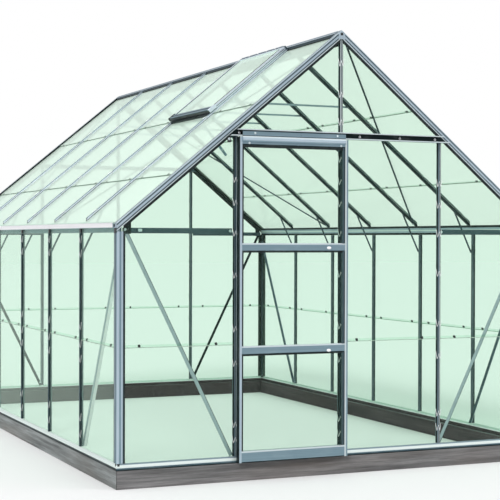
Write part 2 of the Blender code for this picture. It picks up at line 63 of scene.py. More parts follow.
# Places read from the frame
corner_low, corner_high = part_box("corner_post_front_left")
HALF_WIDTH, FRONT, POST_FOOT, CORNER_TOP = -corner_low.x, corner_low.y, corner_low.z, corner_high.z
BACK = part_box("corner_post_back_left")[1].y
MIDDLE, HALF_LENGTH = (FRONT + BACK) / 2, (BACK - FRONT) / 2
RIDGE_LOW, RIDGE_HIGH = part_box("ridge_bar")
APEX_Z = RIDGE_HIGH.z
EAVE_LOW, EAVE_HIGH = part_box("eave_left")
EAVE_Z = EAVE_HIGH.z - EAVE_LIP
SETBACK = HALF_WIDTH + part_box("left_post_1")[0].x + RIB_HEIGHT
POST_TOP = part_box("left_post_1")[1].z
SLOPE = math.atan2(APEX_Z - EAVE_Z, HALF_WIDTH)
SIN, COS, TAN = math.sin(SLOPE), math.cos(SLOPE), math.tan(SLOPE)
BAR_LINES = [sum(corner.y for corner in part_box(f"left_post_{i}")) / 2 for i in range(1, 6)]
BAY = BAR_LINES[1] - BAR_LINES[0]
GLASS_FOOT, WALL_GLASS_TOP = (corner.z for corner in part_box("left_wall_glass"))
TRACK_LOW, TRACK_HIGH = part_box("front_head_rail")
BASE_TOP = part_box("base_frame")[1].z
SILL_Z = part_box("sill_frame")[0].z
DOOR_LEFT, DOOR_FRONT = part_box("door_left_stile")[0].xy
DOOR_BACK, DOOR_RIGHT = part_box("door_left_stile")[1].y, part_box("door_right_stile")[1].x
RAILS = {name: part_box(f"door_{name}_rail") for name in ("bottom", "lower", "upper")}
VENT_LOW, VENT_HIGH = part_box("vent_frame")
VENT_Y, VENT_HALF = (VENT_LOW.y + VENT_HIGH.y) / 2, (VENT_HIGH.y - VENT_LOW.y) / 2

# Joints between panes
WALL_JOINT_Z = 0.722
ROOF_JOINTS = (0.633, 1.236)      # down the slope from the apex
JOINT_LAP = 0.006                 # each pane reaches this far past the joint
LAP_LIFT = 0.0035                 # the upper pane's foot stands this far out
CLIP_SHARES = (0.16, 0.84)        # where a joint's two clips stand across the pane

INSIDE = -WEB_DEPTH - 0.0022      # middle of a flat bar that lies on the webs
VENT_TOP_DOWN, VENT_END_DOWN = 0.030, 0.652
VENT_OUT = 0.034                  # outer face of the sash, out from the bars' glass line
VENT_PANE_TOP = 0.664             # head of the roof pane below the vent


def place_wall(side):
    """Points on a side wall from (y, z, out): out is 0 where the glass lies on the bars."""
    return lambda y, z, out: Vector((side * (HALF_WIDTH - SETBACK + out), y, z))


def place_gable(face, outward):
    """Points on a gable from (x, z, out)."""
    return lambda x, z, out: Vector((x, face - outward * (SETBACK - out), z))


def place_slope(side):
    """Points on a roof slope from (y, distance down from the apex, out)."""
    up, outward = Vector((-side * COS, 0, SIN)), Vector((side * SIN, 0, COS))
    return lambda y, down, out: Vector((0, y, APEX_Z)) - up * down + outward * (out - SETBACK)


SIDES = {"left": -1, "right": 1}
ENDS = (("front", FRONT, 1), ("back", BACK, -1))      # the last value points inwards
WALLS = {name: place_wall(side) for name, side in SIDES.items()}
SLOPES = {name: place_slope(side) for name, side in SIDES.items()}
GABLES = {name: place_gable(face, -inward) for name, face, inward in ENDS}
GABLE_POSTS = {
    "front": {"front_jamb_post": -BAY, "front_centre_post": 0.0, "front_side_post": BAY},
    "back": {"back_post_left": -BAY, "back_post_centre": 0.0, "back_post_right": BAY},
}


def place_corner(sign, face, inward):
    """Points at a corner, from the distances in from its side and gable, and z."""
    return lambda x, y, z: Vector((sign * (HALF_WIDTH - x), face + inward * y, z))


CORNERS = {f"{end}_{side}": place_corner(sign, face, inward)
           for end, face, inward in ENDS for side, sign in SIDES.items()}


def shifted(place, centre):
    """The same wall, with its first coordinate counted from a bar's middle."""
    return lambda a, b, out: place(centre + a, b, out)


def in_front(x, z, out):
    """Points in front of the front gable: out is measured from the gable's face."""
    return Vector((x, FRONT - out, z))


def upright(x, z, y):
    """Points of a shape drawn in the plane across the house."""
    return Vector((x, y, z))


def slope_height(x, inset):
    """Height at x of the line that lies inset below the roof's outer surface."""
    return APEX_Z - inset / COS - abs(x) * TAN


def down_at(x, out):
    """Distance down the slope to the point at |x| that is out from the bars' glass line."""
    return (abs(x) + (SETBACK - out) * SIN) / COS


# ---------------------------------------------------------------- materials

# How far to turn the noise so that its first axis runs along the bar
GRAIN = {
    "none": (0.0, 0.0, 0.0),
    "x": (0.0, 0.0, 0.0),
    "y": (0.0, 0.0, math.pi / 2),
    "z": (0.0, -math.pi / 2, 0.0),
    "left_slope": (0.0, -SLOPE, 0.0),
    "right_slope": (0.0, SLOPE, 0.0),
}
# Base colour and roughness of each tone that the aluminium shows. They are lit and shaded copies of
# one aluminium: the light and dark tones are painted light and shade
TONES = {
    "snow": ((0.84, 0.92, 0.90), 0.50),
    "gutter": ((0.98, 0.97, 1.00), 0.50),
    "frost": ((0.80, 0.87, 0.98), 0.42),
    "white": ((0.64, 0.73, 0.76), 0.40),
    "bright": ((0.46, 0.57, 0.65), 0.30),
    "pale": ((0.30, 0.385, 0.44), 0.34),
    "brace": ((0.42, 0.47, 0.53), 0.40),
    "mid": ((0.215, 0.315, 0.372), 0.36),
    "slate": ((0.065, 0.103, 0.122), 0.40),
    "dark": ((0.010, 0.020, 0.022), 0.48),
    "umber": ((0.060, 0.045, 0.050), 0.55),
}
BANDED_ROUGHNESS = 0.34
# Materials of the painted light and shade tones, one for each tone and grain
lit_and_shaded_aluminium = {}


class Graph:
    """The nodes of a material or world, with short ways to add to them."""

    def __init__(self, owner):
        owner.use_nodes = True
        self.owner = owner
        self.nodes, self.links = owner.node_tree.nodes, owner.node_tree.links
        self.shader = self.nodes.get("Principled BSDF")

    def fill(self, node, values):
        """Gives a node's inputs sockets, plain colours or numbers."""
        for key, value in values.items():
            socket = node.inputs[key]
            if isinstance(value, bpy.types.NodeSocket):
                self.links.new(value, socket)
            else:
                socket.default_value = (*value, 1.0) if socket.type == "RGBA" else value

    def add(self, kind, values=None, **settings):
        node = self.nodes.new("ShaderNode" + kind)
        for name, value in settings.items():
            setattr(node, name, value)
        self.fill(node, values or {})
        return node

    def noise(self, scale, detail, roughness, grain="none"):
        """Noise in the piece's own coordinates, turned and then scaled along each axis."""
        mapping = self.add("Mapping", {
            "Vector": self.add("TexCoord").outputs["Object"], "Rotation": GRAIN[grain],
            "Scale": [1 / s for s in scale]}, vector_type="TEXTURE")
        return self.add("TexNoise", {"Vector": mapping.outputs["Vector"], "Scale": 1.0,
                                     "Detail": detail, "Roughness": roughness}).outputs["Fac"]

    def ramp(self, value, stops, interpolation="LINEAR"):
        """A colour ramp from (place, colour or grey) stops."""
        node = self.add("ValToRGB", {"Fac": value})
        node.color_ramp.interpolation = interpolation
        elements = node.color_ramp.elements
        while len(elements) < len(stops):
            elements.new(0.5)
        for element, (position, colour) in zip(elements, stops):
            element.position = position
            element.color = (*(colour if isinstance(colour, tuple) else (colour,) * 3), 1.0)
        return node.outputs["Color"]

    def span(self, value, low, high):
        """Maps a 0 to 1 value onto low to high."""
        return self.add("MapRange", {"Value": value, "To Min": low, "To Max": high}).outputs["Result"]

    def mix(self, factor, first, second, blend="MIX"):
        """Mixes two colours, each a socket or a plain colour."""
        return self.add("Mix", {0: factor, 6: first, 7: second},
                        data_type="RGBA", blend_type=blend).outputs[2]

    def surface(self, colour, roughness, relief=None, more=None):
        """Ends a material; relief is (height, strength, distance)."""
        self.fill(self.shader, {"Base Color": colour, "Roughness": roughness, **(more or {})})
        if relief:
            bump = self.add("Bump", dict(zip(("Height", "Strength", "Distance"), relief)))
            self.fill(self.shader, {"Normal": bump.outputs["Normal"]})
        return self.owner


def new_graph(name):
    return Graph(bpy.data.materials.new(name))


def drawn_finish(name, grain, base, roughness):
    """Mill aluminium with drawing lines along the bar and a faint bloom.

    base is a plain colour, or a function that makes a colour socket.
    """
    graph = new_graph(name)
    lines = graph.noise((1.5, 420.0, 420.0), 4.0, 0.65, grain)
    bloom = graph.noise((5.0, 16.0, 16.0), 3.0, 0.6, grain)
    drawn = graph.mix(1.0, base(graph) if callable(base) else base,
                      graph.ramp(lines, [(0.30, 0.84), (0.72, 1.10)]), "MULTIPLY")
    clouded = graph.ramp(bloom, [(0.52, 0.0), (0.78, 0.10)])
    return graph.surface(graph.mix(clouded, drawn, (0.70, 0.76, 0.78)),
                         graph.span(bloom, roughness - 0.06, roughness + 0.14),
                         (lines, 0.12, 0.0004), {"Metallic": 0.85})


def aluminium(tone, grain="z"):
    """The aluminium in one tone of painted light and shade, its lines along the grain."""
    if (tone, grain) not in lit_and_shaded_aluminium:
        lit_and_shaded_aluminium[tone, grain] = drawn_finish(f"aluminium_{tone}_{grain}", grain, *TONES[tone])
    return lit_and_shaded_aluminium[tone, grain]


def banded_aluminium(name, grain, axis, bands):
    """Aluminium with bands of painted light and shade along axis: bands are (upper limit, tone),
    lowest first.
    """
    low, high = bands[0][0] - 0.1, bands[-2][0] + 0.1

    def base(graph):
        along = graph.add("VectorMath", {0: graph.add("TexCoord").outputs["Object"], 1: axis},
                          operation="DOT_PRODUCT")
        place = graph.add("MapRange", {"Value": along.outputs["Value"],
                                       "From Min": low, "From Max": high})
        starts = [0.0] + [(limit - low) / (high - low) for limit, _ in bands[:-1]]
        stops = [(start, TONES[tone][0]) for start, (_, tone) in zip(starts, bands)]
        return graph.ramp(place.outputs["Result"], stops, "CONSTANT")

    return drawn_finish(name, grain, base, BANDED_ROUGHNESS)


def glass_material(name, tint, haze_and_sheen, dirt, body, gloss=0.5, rim=0.96):
    """Greenhouse glass: a tinted clear sheet with a thin, patchy, glossy film.

    The film grows towards grazing angles, up to rim, as reflection from glass does; its pale body
    colour there is a painted reflection. A thin film is smudge, and a thick one, as on the left roof,
    is painted sheen.
    """
    graph = new_graph(name)
    graph.surface(body, 0.06, more={"IOR": 1.5, "Specular IOR Level": gloss})
    clear = graph.add("BsdfTransparent", {"Color": tint})
    film = graph.span(graph.noise((2.2, 2.2, 2.2), 5.0, 0.6), haze_and_sheen - dirt, haze_and_sheen + dirt)
    facing = graph.add("LayerWeight", {"Blend": 0.5})
    steep = graph.add("Math", {0: facing.outputs["Facing"], 1: 5.0}, operation="POWER")
    total = graph.add("Math", {0: film, 1: graph.span(steep.outputs["Value"], 0.0, rim)},
                      operation="ADD", use_clamp=True)
    mix = graph.add("MixShader", {0: total.outputs["Value"], 1: clear.outputs["BSDF"],
                                  2: graph.shader.outputs["BSDF"]})
    graph.fill(graph.nodes["Material Output"], {"Surface": mix.outputs["Shader"]})
    return graph.owner


def speckled(name, low, high, scale=220.0, noise=(3.0, 0.5), stops=(0.3, 0.7),
             rough=(0.32, 0.48), relief=(0.08, 0.0003), more=None):
    """Plastic, rubber or wire with fine speckles of two colours."""
    graph = new_graph(name)
    grain = graph.noise((scale, scale, scale), *noise)
    return graph.surface(graph.ramp(grain, list(zip(stops, (low, high)))),
                         graph.span(grain, *rough), relief and (grain, *relief), more)


def timber_material(name, grain, shade):
    """Weathered grey board: long grain streaks, brown veins, fine cracks."""
    graph = new_graph(name)
    streaks = graph.noise((1.6, 34.0, 34.0), 6.0, 0.62, grain)
    fibres = graph.noise((7.0, 330.0, 330.0), 4.0, 0.7, grain)
    stains = graph.noise((1.1, 6.0, 6.0), 3.0, 0.5, grain)
    grey = graph.ramp(streaks, [(0.28, tuple(0.38 * c for c in shade)), (0.49, shade),
                                (0.72, tuple(min(1.0, 1.95 * c) for c in shade))])
    brown = (shade[0] * 1.02, shade[1] * 0.86, shade[2] * 0.76)
    colour = graph.mix(graph.ramp(stains, [(0.45, 0.0), (0.70, 0.52)]), grey, brown)
    worn = graph.ramp(fibres, [(0.30, 0.62), (0.62, 1.0)])
    return graph.surface(graph.mix(1.0, colour, worn, "MULTIPLY"),
                         graph.span(fibres, 0.72, 0.95), (fibres, 0.45, 0.0012))


GLASS = glass_material("greenhouse_glass", (0.911, 0.973, 0.935), 0.010, 0.006,
                       (0.66, 0.84, 0.73), rim=0.50)
# The left slope's thick, pale film is a painted reflection of the sky; the right slope's glass has
# only a thin film
ROOF_GLASS = {
    "left": glass_material("painted_sheen_roof_glass", (0.922, 0.982, 0.946), 0.125, 0.045,
                           (0.81, 0.96, 0.86), 0.14),
    "right": glass_material("clear_roof_glass", (0.945, 0.990, 0.960), 0.020, 0.010,
                            (0.82, 0.93, 0.84), 0.20),
}
SEAL = speckled("black_rubber_seal", (0.004, 0.010, 0.011), (0.022, 0.032, 0.032), 30.0,
                (4.0, 0.6), (0.35, 0.80), (0.50, 0.72), (0.15, 0.0006), {"Specular IOR Level": 0.25})
BLACK_PLASTIC = speckled("black_plastic", (0.006, 0.010, 0.012), (0.020, 0.026, 0.028))
JOINT_BEAD = speckled("grey_green_bead", (0.25, 0.36, 0.29), (0.36, 0.47, 0.39))
ROOF_BEAD = speckled("dark_green_bead", (0.06, 0.11, 0.08), (0.12, 0.19, 0.14))
WHITE_PLASTIC = speckled("white_plastic", (0.78, 0.79, 0.80), (0.90, 0.91, 0.92))
WIRE = speckled("spring_wire", (0.78, 0.81, 0.81), (0.95, 0.97, 0.97), 400.0, (2.0, 0.5),
                rough=(0.22, 0.38), relief=None, more={"Metallic": 0.4})


# ---------------------------------------------------------------- shapes

# Radius and height of the rings of a washer with a domed bolt head on it
BOLT_PROFILE = [(0.0062, 0.0), (0.0062, 0.0009), (0.0044, 0.0010), (0.0044, 0.0024),
                (0.0034, 0.0036), (0.0014, 0.0041)]


def new_shapes(count):
    return [bmesh.new() for _ in range(count)]


def circle(count):
    """Points of a circle of radius 1."""
    angles = [2 * math.pi * i / count for i in range(count)]
    return [(math.cos(t), math.sin(t)) for t in angles]


def loft(shape, rings, strips=None):
    """Joins rings of equal length into one closed solid with flat ends.

    strips gives the material index of the strip that starts at each point of a ring.
    """
    rows = [[shape.verts.new(point) for point in ring] for ring in rings]
    for low, high in zip(rows, rows[1:]):
        for i in range(len(low)):
            j = (i + 1) % len(low)
            face = shape.faces.new((low[i], low[j], high[j], high[i]))
            face.material_index = strips[i] if strips else 0
    shape.faces.new(rows[0][::-1])
    shape.faces.new(rows[-1])


def prism(shape, place, outline, depths):
    """A solid from an (a, b) outline in a wall's own coordinates, between two depths."""
    loft(shape, [[place(a, b, out) for a, b in outline] for out in depths])


def block(shape, place, a, b, out):
    """A box in a wall's own coordinates, between the two values of a, b and out."""
    (a0, a1), (b0, b1) = sorted(a), sorted(b)
    prism(shape, place, [(a0, b0), (a1, b0), (a1, b1), (a0, b1)], out)


def disc_ring(place, a, b, out, radius_a, radius_b=None, count=12):
    """A ring of points round (a, b) at a depth."""
    radius_b = radius_b or radius_a
    return [place(a + radius_a * x, b + radius_b * y, out) for x, y in circle(count)]


def bolt(shape, place, a, b, out, way=1, size=1.0):
    """A washer with a domed bolt head on it, standing up from out."""
    loft(shape, [disc_ring(place, a, b, out + way * z * size, r * size) for r, z in BOLT_PROFILE])


def tube(shape, points, radius, sides=6):
    """A round wire along a list of points."""
    rings, across = [], None
    for i, point in enumerate(points):
        before, after = points[max(i - 1, 0)], points[min(i + 1, len(points) - 1)]
        along = (after - before).normalized()
        across = along.orthogonal() if across is None else across - along * across.dot(along)
        across.normalize()
        other = along.cross(across)
        rings.append([point + radius * (x * across + y * other) for x, y in circle(sides)])
    loft(shape, rings)


def strap(shape, start, end, facing, width, thickness, reach=0.0, edge=0.0):
    """A flat bar between two points, its broad face turned to facing.

    edge is the share of that face which takes the second material, as the inner face
    and the edge between them do.
    """
    along = (end - start).normalized()
    facing = (facing - along * facing.dot(along)).normalized()
    across = facing.cross(along) * (width / 2)
    deep = facing * (thickness / 2)
    turns = [-across - deep, across - deep, across + deep, -across + deep]
    strips = None
    if edge:
        split = across * (1 - 2 * edge)
        turns = [turns[0], split - deep, turns[1], turns[2], split + deep, turns[3]]
        strips = [1, 1, 1, 1, 0, 0]
    loft(shape, [[middle + turn for turn in turns]
                 for middle in (start - along * reach, end + along * reach)], strips)


def angle_bar(shape, start, end, up, facing, height, depth, wall=0.0025):
    """An L-shaped bar: one leg stands up, the other reaches along facing."""
    outline = [(0.0, 0.0), (depth, 0.0), (depth, wall), (wall, wall), (wall, height), (0.0, height)]
    loft(shape, [[middle + facing * x + up * y for x, y in outline] for middle in (start, end)])


def round_edges(piece, width):
    modifier = piece.modifiers.new("rounded_edges", "BEVEL")
    modifier.width = width
    modifier.segments = 2
    modifier.limit_method = "ANGLE"
    modifier.angle_limit = math.radians(40)


def add_piece(name, shape, materials, body="root", bevel=0.0, replaces=()):
    """Turns a shape into a finished piece that rides on a body."""
    bmesh.ops.recalc_face_normals(shape, faces=shape.faces)
    mesh = bpy.data.meshes.new(name)
    shape.to_mesh(mesh)
    shape.free()
    for material in materials:
        mesh.materials.append(material)
    mesh.shade_smooth()
    mesh.set_sharp_from_angle(angle=SHARP_ANGLE)
    piece = bpy.data.objects.new(name, mesh)
    bpy.context.scene.collection.objects.link(piece)
    if bevel:
        round_edges(piece, bevel)
    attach(piece, body)
    if replaces:
        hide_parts(*replaces)


def add_metal(name, shape, tones, grain="z", body="root", bevel=0.0, replaces=()):
    """A piece in one or more tones of aluminium."""
    tones = [tones] if isinstance(tones, str) else tones
    add_piece(name, shape, [aluminium(tone, grain) for tone in tones], body, bevel,
              replaces)


def add_plastic(name, shape, material=BLACK_PLASTIC, body="root", bevel=0.0):
    add_piece(name, shape, [material], body, bevel)


def add_glass(name, shape, sheet, material=GLASS, body="root"):
    """Panes in the place of one of the frame's glass sheets."""
    add_piece(name, shape, [material], body, replaces=[sheet])


def add_section(name, outline, rings, grain, replaced):
    """A drawn section through rings of points; outline's third values are its strips' tones."""
    tones = sorted({tone for _, _, tone in outline})
    shape = bmesh.new()
    loft(shape, rings, [tones.index(tone) for _, _, tone in outline])
    add_metal(name, shape, tones, grain, replaces=[replaced])


def add_bar(name, outline, place, start, end, grain):
    """The drawn section of a frame's bar: outline holds (across, out, tone).

    start and end give where the bar is cut, from a point's across and out.
    """
    rings = [[place(across, cut(across, out), out) for across, out, _ in outline]
             for cut in (start, end)]
    add_section(name + "_section", outline, rings, grain, name)


def mirrored(half):
    """A closed outline from its right half, listed from top to bottom."""
    back = [(-x, out, half[i - 1][2]) for i, (x, out, _) in enumerate(half) if x > 1e-9]
    return half + back[::-1]


# ---------------------------------------------------------------- glazing bars

def glazing_bar_outline(lips, groove="dark", height=RIB_HEIGHT):
    """Rib with a bolt groove and clip grooves, flange under the glass, slotted web inside.

    lips holds the tones of the rib's two lips, one lighter than the other as painted light. The dark
    tones of the rib's sides, its grooves, the flange's underside and the slotted web are painted
    shade.
    """
    outline = mirrored([
        (0.0, 0.0085, groove), (0.0019, 0.0085, groove), (0.0023, height, "lip"),
        (0.0055, height, "lip"), (RIB_HALF, height - 0.0006, "slate"), (RIB_HALF, 0.0094, "dark"),
        (0.0045, 0.0086, "dark"), (0.0045, 0.0070, "dark"), (RIB_HALF, 0.0062, "slate"),
        (RIB_HALF, 0.0, "mid"), (0.0110, 0.0, "mid"), (FLANGE_HALF, -0.0005, "pale"),
        (FLANGE_HALF, -0.002, "dark"), (0.0087, -0.002, "dark"), (0.0080, -0.0028, "dark"),
        (0.0080, -0.0056, "pale"), (0.0073, -WEB_DEPTH, "pale"), (0.0044, -WEB_DEPTH, "dark"),
        (0.0044, -0.0040, "dark"), (0.0, -0.0040, "dark"),
    ])
    return [(x, out, lips[x > 0] if tone == "lip" else tone) for x, out, tone in outline]


def rafter_outline(wall):
    """The roof bars' section; wall is the tone of the rib's sides, their painted light and shade. The
    dark and slate flange and web are painted shade.
    """
    return mirrored([
        (0.0, 0.0125, "mid"), (0.0022, 0.0125, "mid"), (0.0026, ROOF_RIB_HEIGHT, "frost"),
        (0.0054, ROOF_RIB_HEIGHT, "mid"), (RIB_HALF, ROOF_RIB_HEIGHT - 0.0010, "slate"),
        (RIB_HALF, 0.0130, wall), (0.0056, 0.0124, wall), (0.0056, 0.0066, wall),
        (RIB_HALF, 0.0060, "slate"), (RIB_HALF, 0.0, "slate"), (FLANGE_HALF, -0.0005, "dark"),
        (FLANGE_HALF, -0.002, "dark"), (0.0080, -0.0028, "dark"),
        (0.0080, -ROOF_WEB_DEPTH + 0.0008, "slate"), (0.0073, -ROOF_WEB_DEPTH, "slate"),
        (0.0044, -ROOF_WEB_DEPTH, "dark"), (0.0044, -0.0050, "dark"), (0.0, -0.0050, "dark"),
    ])


def make_side_posts():
    outline = glazing_bar_outline(("slate", "mid"), height=SIDE_RIB_HEIGHT)
    blocks = bmesh.new()
    for side, place in WALLS.items():
        for number, y in enumerate(BAR_LINES, 1):
            add_bar(f"{side}_post_{number}", outline, shifted(place, y),
                    lambda a, out: POST_FOOT, lambda a, out: POST_TOP, "z")
            block(blocks, place, (y - 0.0110, y + 0.0110),
                  (POST_TOP + 0.0012, WALL_GLASS_TOP - 0.0008),
                  (GAP + GLASS_THICKNESS + 0.0004, 0.0125))
    add_plastic("post_top_blocks", blocks, bevel=0.0008)


def make_rafters():
    foot, head = HALF_WIDTH - EAVE_INNER - GAP, RIDGE_HIGH.x + GAP
    # The same bar in two tones: the ribs' sides are painted light on the left slope and painted shade
    # on the right
    outlines = {"left": rafter_outline("frost"), "right": rafter_outline("dark")}
    for side, place in SLOPES.items():
        for number, y in enumerate(BAR_LINES, 1):
            add_bar(f"{side}_rafter_{number}", outlines[side], shifted(place, y),
                    lambda a, out: down_at(foot, out), lambda a, out: down_at(head, out),
                    side + "_slope")


def gable_post_top(x, across):
    """Height where the bar at x meets the rafters; the centre bar is cut level."""
    return slope_height(x + across if x else FLANGE_HALF, RAFTER_COVER + 0.0005)


def make_gable_posts():
    # Painted light and shade: above the door's track the centre bars' lips are lighter, below it
    # darker
    lit_and_shaded_aluminium["crown", "z"] = banded_aluminium("centre_post_painted_shading", "z", (0, 0, 1),
                                              [(TRACK_LOW.z, "slate"), (0, "white")])
    centre = glazing_bar_outline(("crown", "crown"), "slate")
    outer = glazing_bar_outline(("mid", "white"))
    for end, posts in GABLE_POSTS.items():
        for name, x in posts.items():
            add_bar(name, outer if x else centre, shifted(GABLES[end], x),
                    lambda a, out: POST_FOOT, lambda a, out, x=x: gable_post_top(x, a), "z")


# ---------------------------------------------------------------- frame sections

def make_corner_posts():
    """Round-nosed posts with a shallow channel down each face. The front faces and the front of the
    nose are painted lighter than the side faces, and the channels and inner faces darker: painted
    light and shade.
    """
    radius = 0.012
    faces = []
    for nose, channel, ridge, edge in (("mid", "slate", "pale", "mid"),
                                       ("bright", "mid", "bright", "slate")):
        faces.append([(radius, 0.0, nose), (0.0150, 0.0, channel), (0.0154, 0.0012, channel),
                      (0.0246, 0.0012, channel), (0.0250, 0.0, ridge), (0.0340, 0.0, edge),
                      (0.0344, 0.0006, edge), (POST_COVER, 0.0006, "dark")])
    side, front = faces
    outline = [(radius + radius * math.cos(t), radius + radius * math.sin(t),
                "mid" if t < math.radians(210) else "bright")
               for t in (math.radians(180 + 9 * i) for i in range(1, 10))]
    outline += front
    outline += [(POST_COVER, COVER_THICKNESS, "dark"), (POST_BLOCK, COVER_THICKNESS, "slate"),
                (POST_BLOCK, POST_BLOCK, "slate"), (COVER_THICKNESS, POST_BLOCK, "dark"),
                (COVER_THICKNESS, POST_COVER, "dark")]
    outline += [(y, x, side[max(i - 1, 0)][2]) for i, (x, y, _) in reversed(list(enumerate(side)))]
    for corner, place in CORNERS.items():
        rings = [[place(x, y, z) for x, y, _ in outline] for z in (POST_FOOT, CORNER_TOP)]
        add_section(f"corner_post_{corner}_section", outline, rings, "z", f"corner_post_{corner}")


def make_corner_plugs():
    """Blocks at the heads of the corner posts, and black caps in their open lower ends that stand in
    for the shade inside them.
    """
    blocks, caps = new_shapes(2)
    for _, face, inward in ENDS:
        for place in WALLS.values():
            block(blocks, place, (face + inward * 0.003, face + inward * 0.030),
                  (EAVE_Z - 0.052, EAVE_Z - 0.0262), (SETBACK + 0.0004, SETBACK + 0.0050))
    add_plastic("corner_top_blocks", blocks, bevel=0.0008)
    inset, radius, rise = 0.012, 0.0135, 0.013
    foot = POST_FOOT - rise - GAP
    for place in CORNERS.values():
        loft(caps, [disc_ring(place, inset, inset, foot + z, radius * grow, count=20)
                    for z, grow in ((0.0, 1.0), (rise - 0.003, 1.0), (rise, 0.88))])
    add_plastic("corner_foot_shade_caps", caps)


def make_gable_rafters():
    # Bright ridges are painted light; the grooves and the dark inner faces are painted shade
    outline = [
        (0.0012, 0.0, "white"), (0.0080, 0.0, "slate"), (0.0084, -0.0012, "slate"),
        (0.0116, -0.0012, "slate"), (0.0120, 0.0, "bright"), (0.0200, 0.0, "slate"),
        (0.0204, -0.0012, "slate"), (0.0236, -0.0012, "slate"), (0.0240, 0.0, "bright"),
        (RAFTER_DEPTH, 0.0, "dark"), (RAFTER_DEPTH, -0.0158, "dark"),
        (RAFTER_SHELF, -0.0158, "dark"), (RAFTER_SHELF, -RAFTER_BLOCK, "dark"),
        (COVER_THICKNESS, -RAFTER_BLOCK, "dark"), (COVER_THICKNESS, -RAFTER_COVER, "dark"),
        (0.0012, -RAFTER_COVER, "bright"), (0.0, -RAFTER_COVER + 0.0012, "white"),
        (0.0, -0.0290, "slate"), (0.0012, -0.0284, "slate"), (0.0012, -0.0232, "slate"),
        (0.0, -0.0226, "bright"), (0.0, -0.0118, "slate"), (0.0010, -0.0112, "slate"),
        (0.0010, -0.0060, "slate"), (0.0, -0.0054, "bright"), (0.0, -0.0012, "white"),
    ]
    for end, face, inward in ENDS:
        for side, slope in SLOPES.items():
            rings = [[slope(face + inward * depth, down_at(x, SETBACK + out), SETBACK + out)
                      for depth, out, _ in outline] for x in (HALF_WIDTH, GAP)]
            name = f"gable_rafter_{end}_{side}"
            add_section(name + "_section", outline, rings, side + "_slope", name)


def make_sill():
    """Four mitred lengths of sill with a lip outside and a ledge for the glass. The lowest strip of
    the outer face is a painted shadow line and the inner face below the ledge is painted shade; the
    gable and wall lengths are lit and shaded copies of one sill.
    """
    height, ledge, lip, depth = 0.036, 0.024, 0.009, 0.030
    outline = [
        (0.0, 0.0, "dark"), (0.0, 0.0044, "low"), (0.0, 0.0100, "shade"),
        (0.0012, 0.0108, "shade"), (0.0012, 0.0128, "shade"), (0.0, 0.0136, "face"),
        (0.0, 0.0290, "groove"), (0.0010, 0.0296, "groove"), (0.0010, 0.0316, "top"),
        (0.0016, 0.0345, "top"), (0.0040, height, "top"), (lip, height, "gutter"),
        (lip, ledge, "gutter"), (depth, ledge, "gutter"), (depth, 0.0215, "umber"),
        (depth, 0.0, "dark"),
    ]
    # Lit and shaded copies of one sill, in tones of painted light and shade
    gable = {"low": "slate", "shade": "mid", "groove": "mid", "face": "snow", "top": "pale"}
    wall = {"low": "dark", "shade": "slate", "groove": "snow", "face": "snow", "top": "snow"}
    lengths = {
        "front": (gable, "x", "front_left", "front_right"),
        "back": (gable, "x", "back_left", "back_right"),
        "left": (wall, "y", "front_left", "back_left"),
        "right": (wall, "y", "front_right", "back_right"),
    }
    for name, (look, grain, *corners) in lengths.items():
        toned = [(d, z, look.get(tone, tone)) for d, z, tone in outline]
        rings = [[CORNERS[corner](d, d, SILL_Z + z) for d, z, _ in toned] for corner in corners]
        add_section(f"sill_{name}_length", toned, rings, grain, "sill_frame")


def make_eaves():
    """Eave beams with a rolled gutter lip. Their bright and dark bands are painted light and shade."""
    inner = EAVE_INNER
    outline = [
        (-0.0080, -0.0100, "gutter"), (-0.0076, -0.0012, "gutter"), (-0.0060, 0.0, "gutter"),
        (-0.0046, -0.0012, "white"), (-0.0042, -0.0040, "white"), (-0.0040, -0.0210, "white"),
        (0.0360, -0.0210, "white"), (0.0360, 0.0062, "pale"), (0.0370, EAVE_LIP, "pale"),
        (0.0390, EAVE_LIP, "dark"), (inner, 0.0062, "dark"), (inner, -0.0060, "bright"),
        (inner, -0.0170, "snow"), (inner, -0.0250, "bright"), (inner, -0.0360, "dark"),
        (inner, -0.0500, "dark"), (0.0340, -0.0500, "dark"), (0.0340, -0.0462, "dark"),
        (0.0222, -0.0462, "dark"), (0.0222, -0.0500, "dark"), (SETBACK + GAP, -0.0500, "mid"),
        (SETBACK + GAP, -0.0250, "white"), (-0.0062, -0.0250, "white"), (-0.0080, -0.0232, "gutter"),
    ]
    ends = bmesh.new()
    for side, sign in SIDES.items():
        rings = [[Vector((sign * (HALF_WIDTH - x), y, EAVE_Z + z)) for x, z, _ in outline]
                 for y in (EAVE_LOW.y, EAVE_HIGH.y)]
        add_section(f"eave_{side}_section", outline, rings, "y", f"eave_{side}")
        for y in (EAVE_LOW.y - 0.006, EAVE_HIGH.y + 0.0015):
            block(ends, upright, [sign * (HALF_WIDTH - x) for x in (-0.0036, 0.0140)],
                  (EAVE_Z - 0.0205, EAVE_Z - 0.006), (y, y + 0.0045))
    add_plastic("gutter_stop_ends", ends, bevel=0.001)


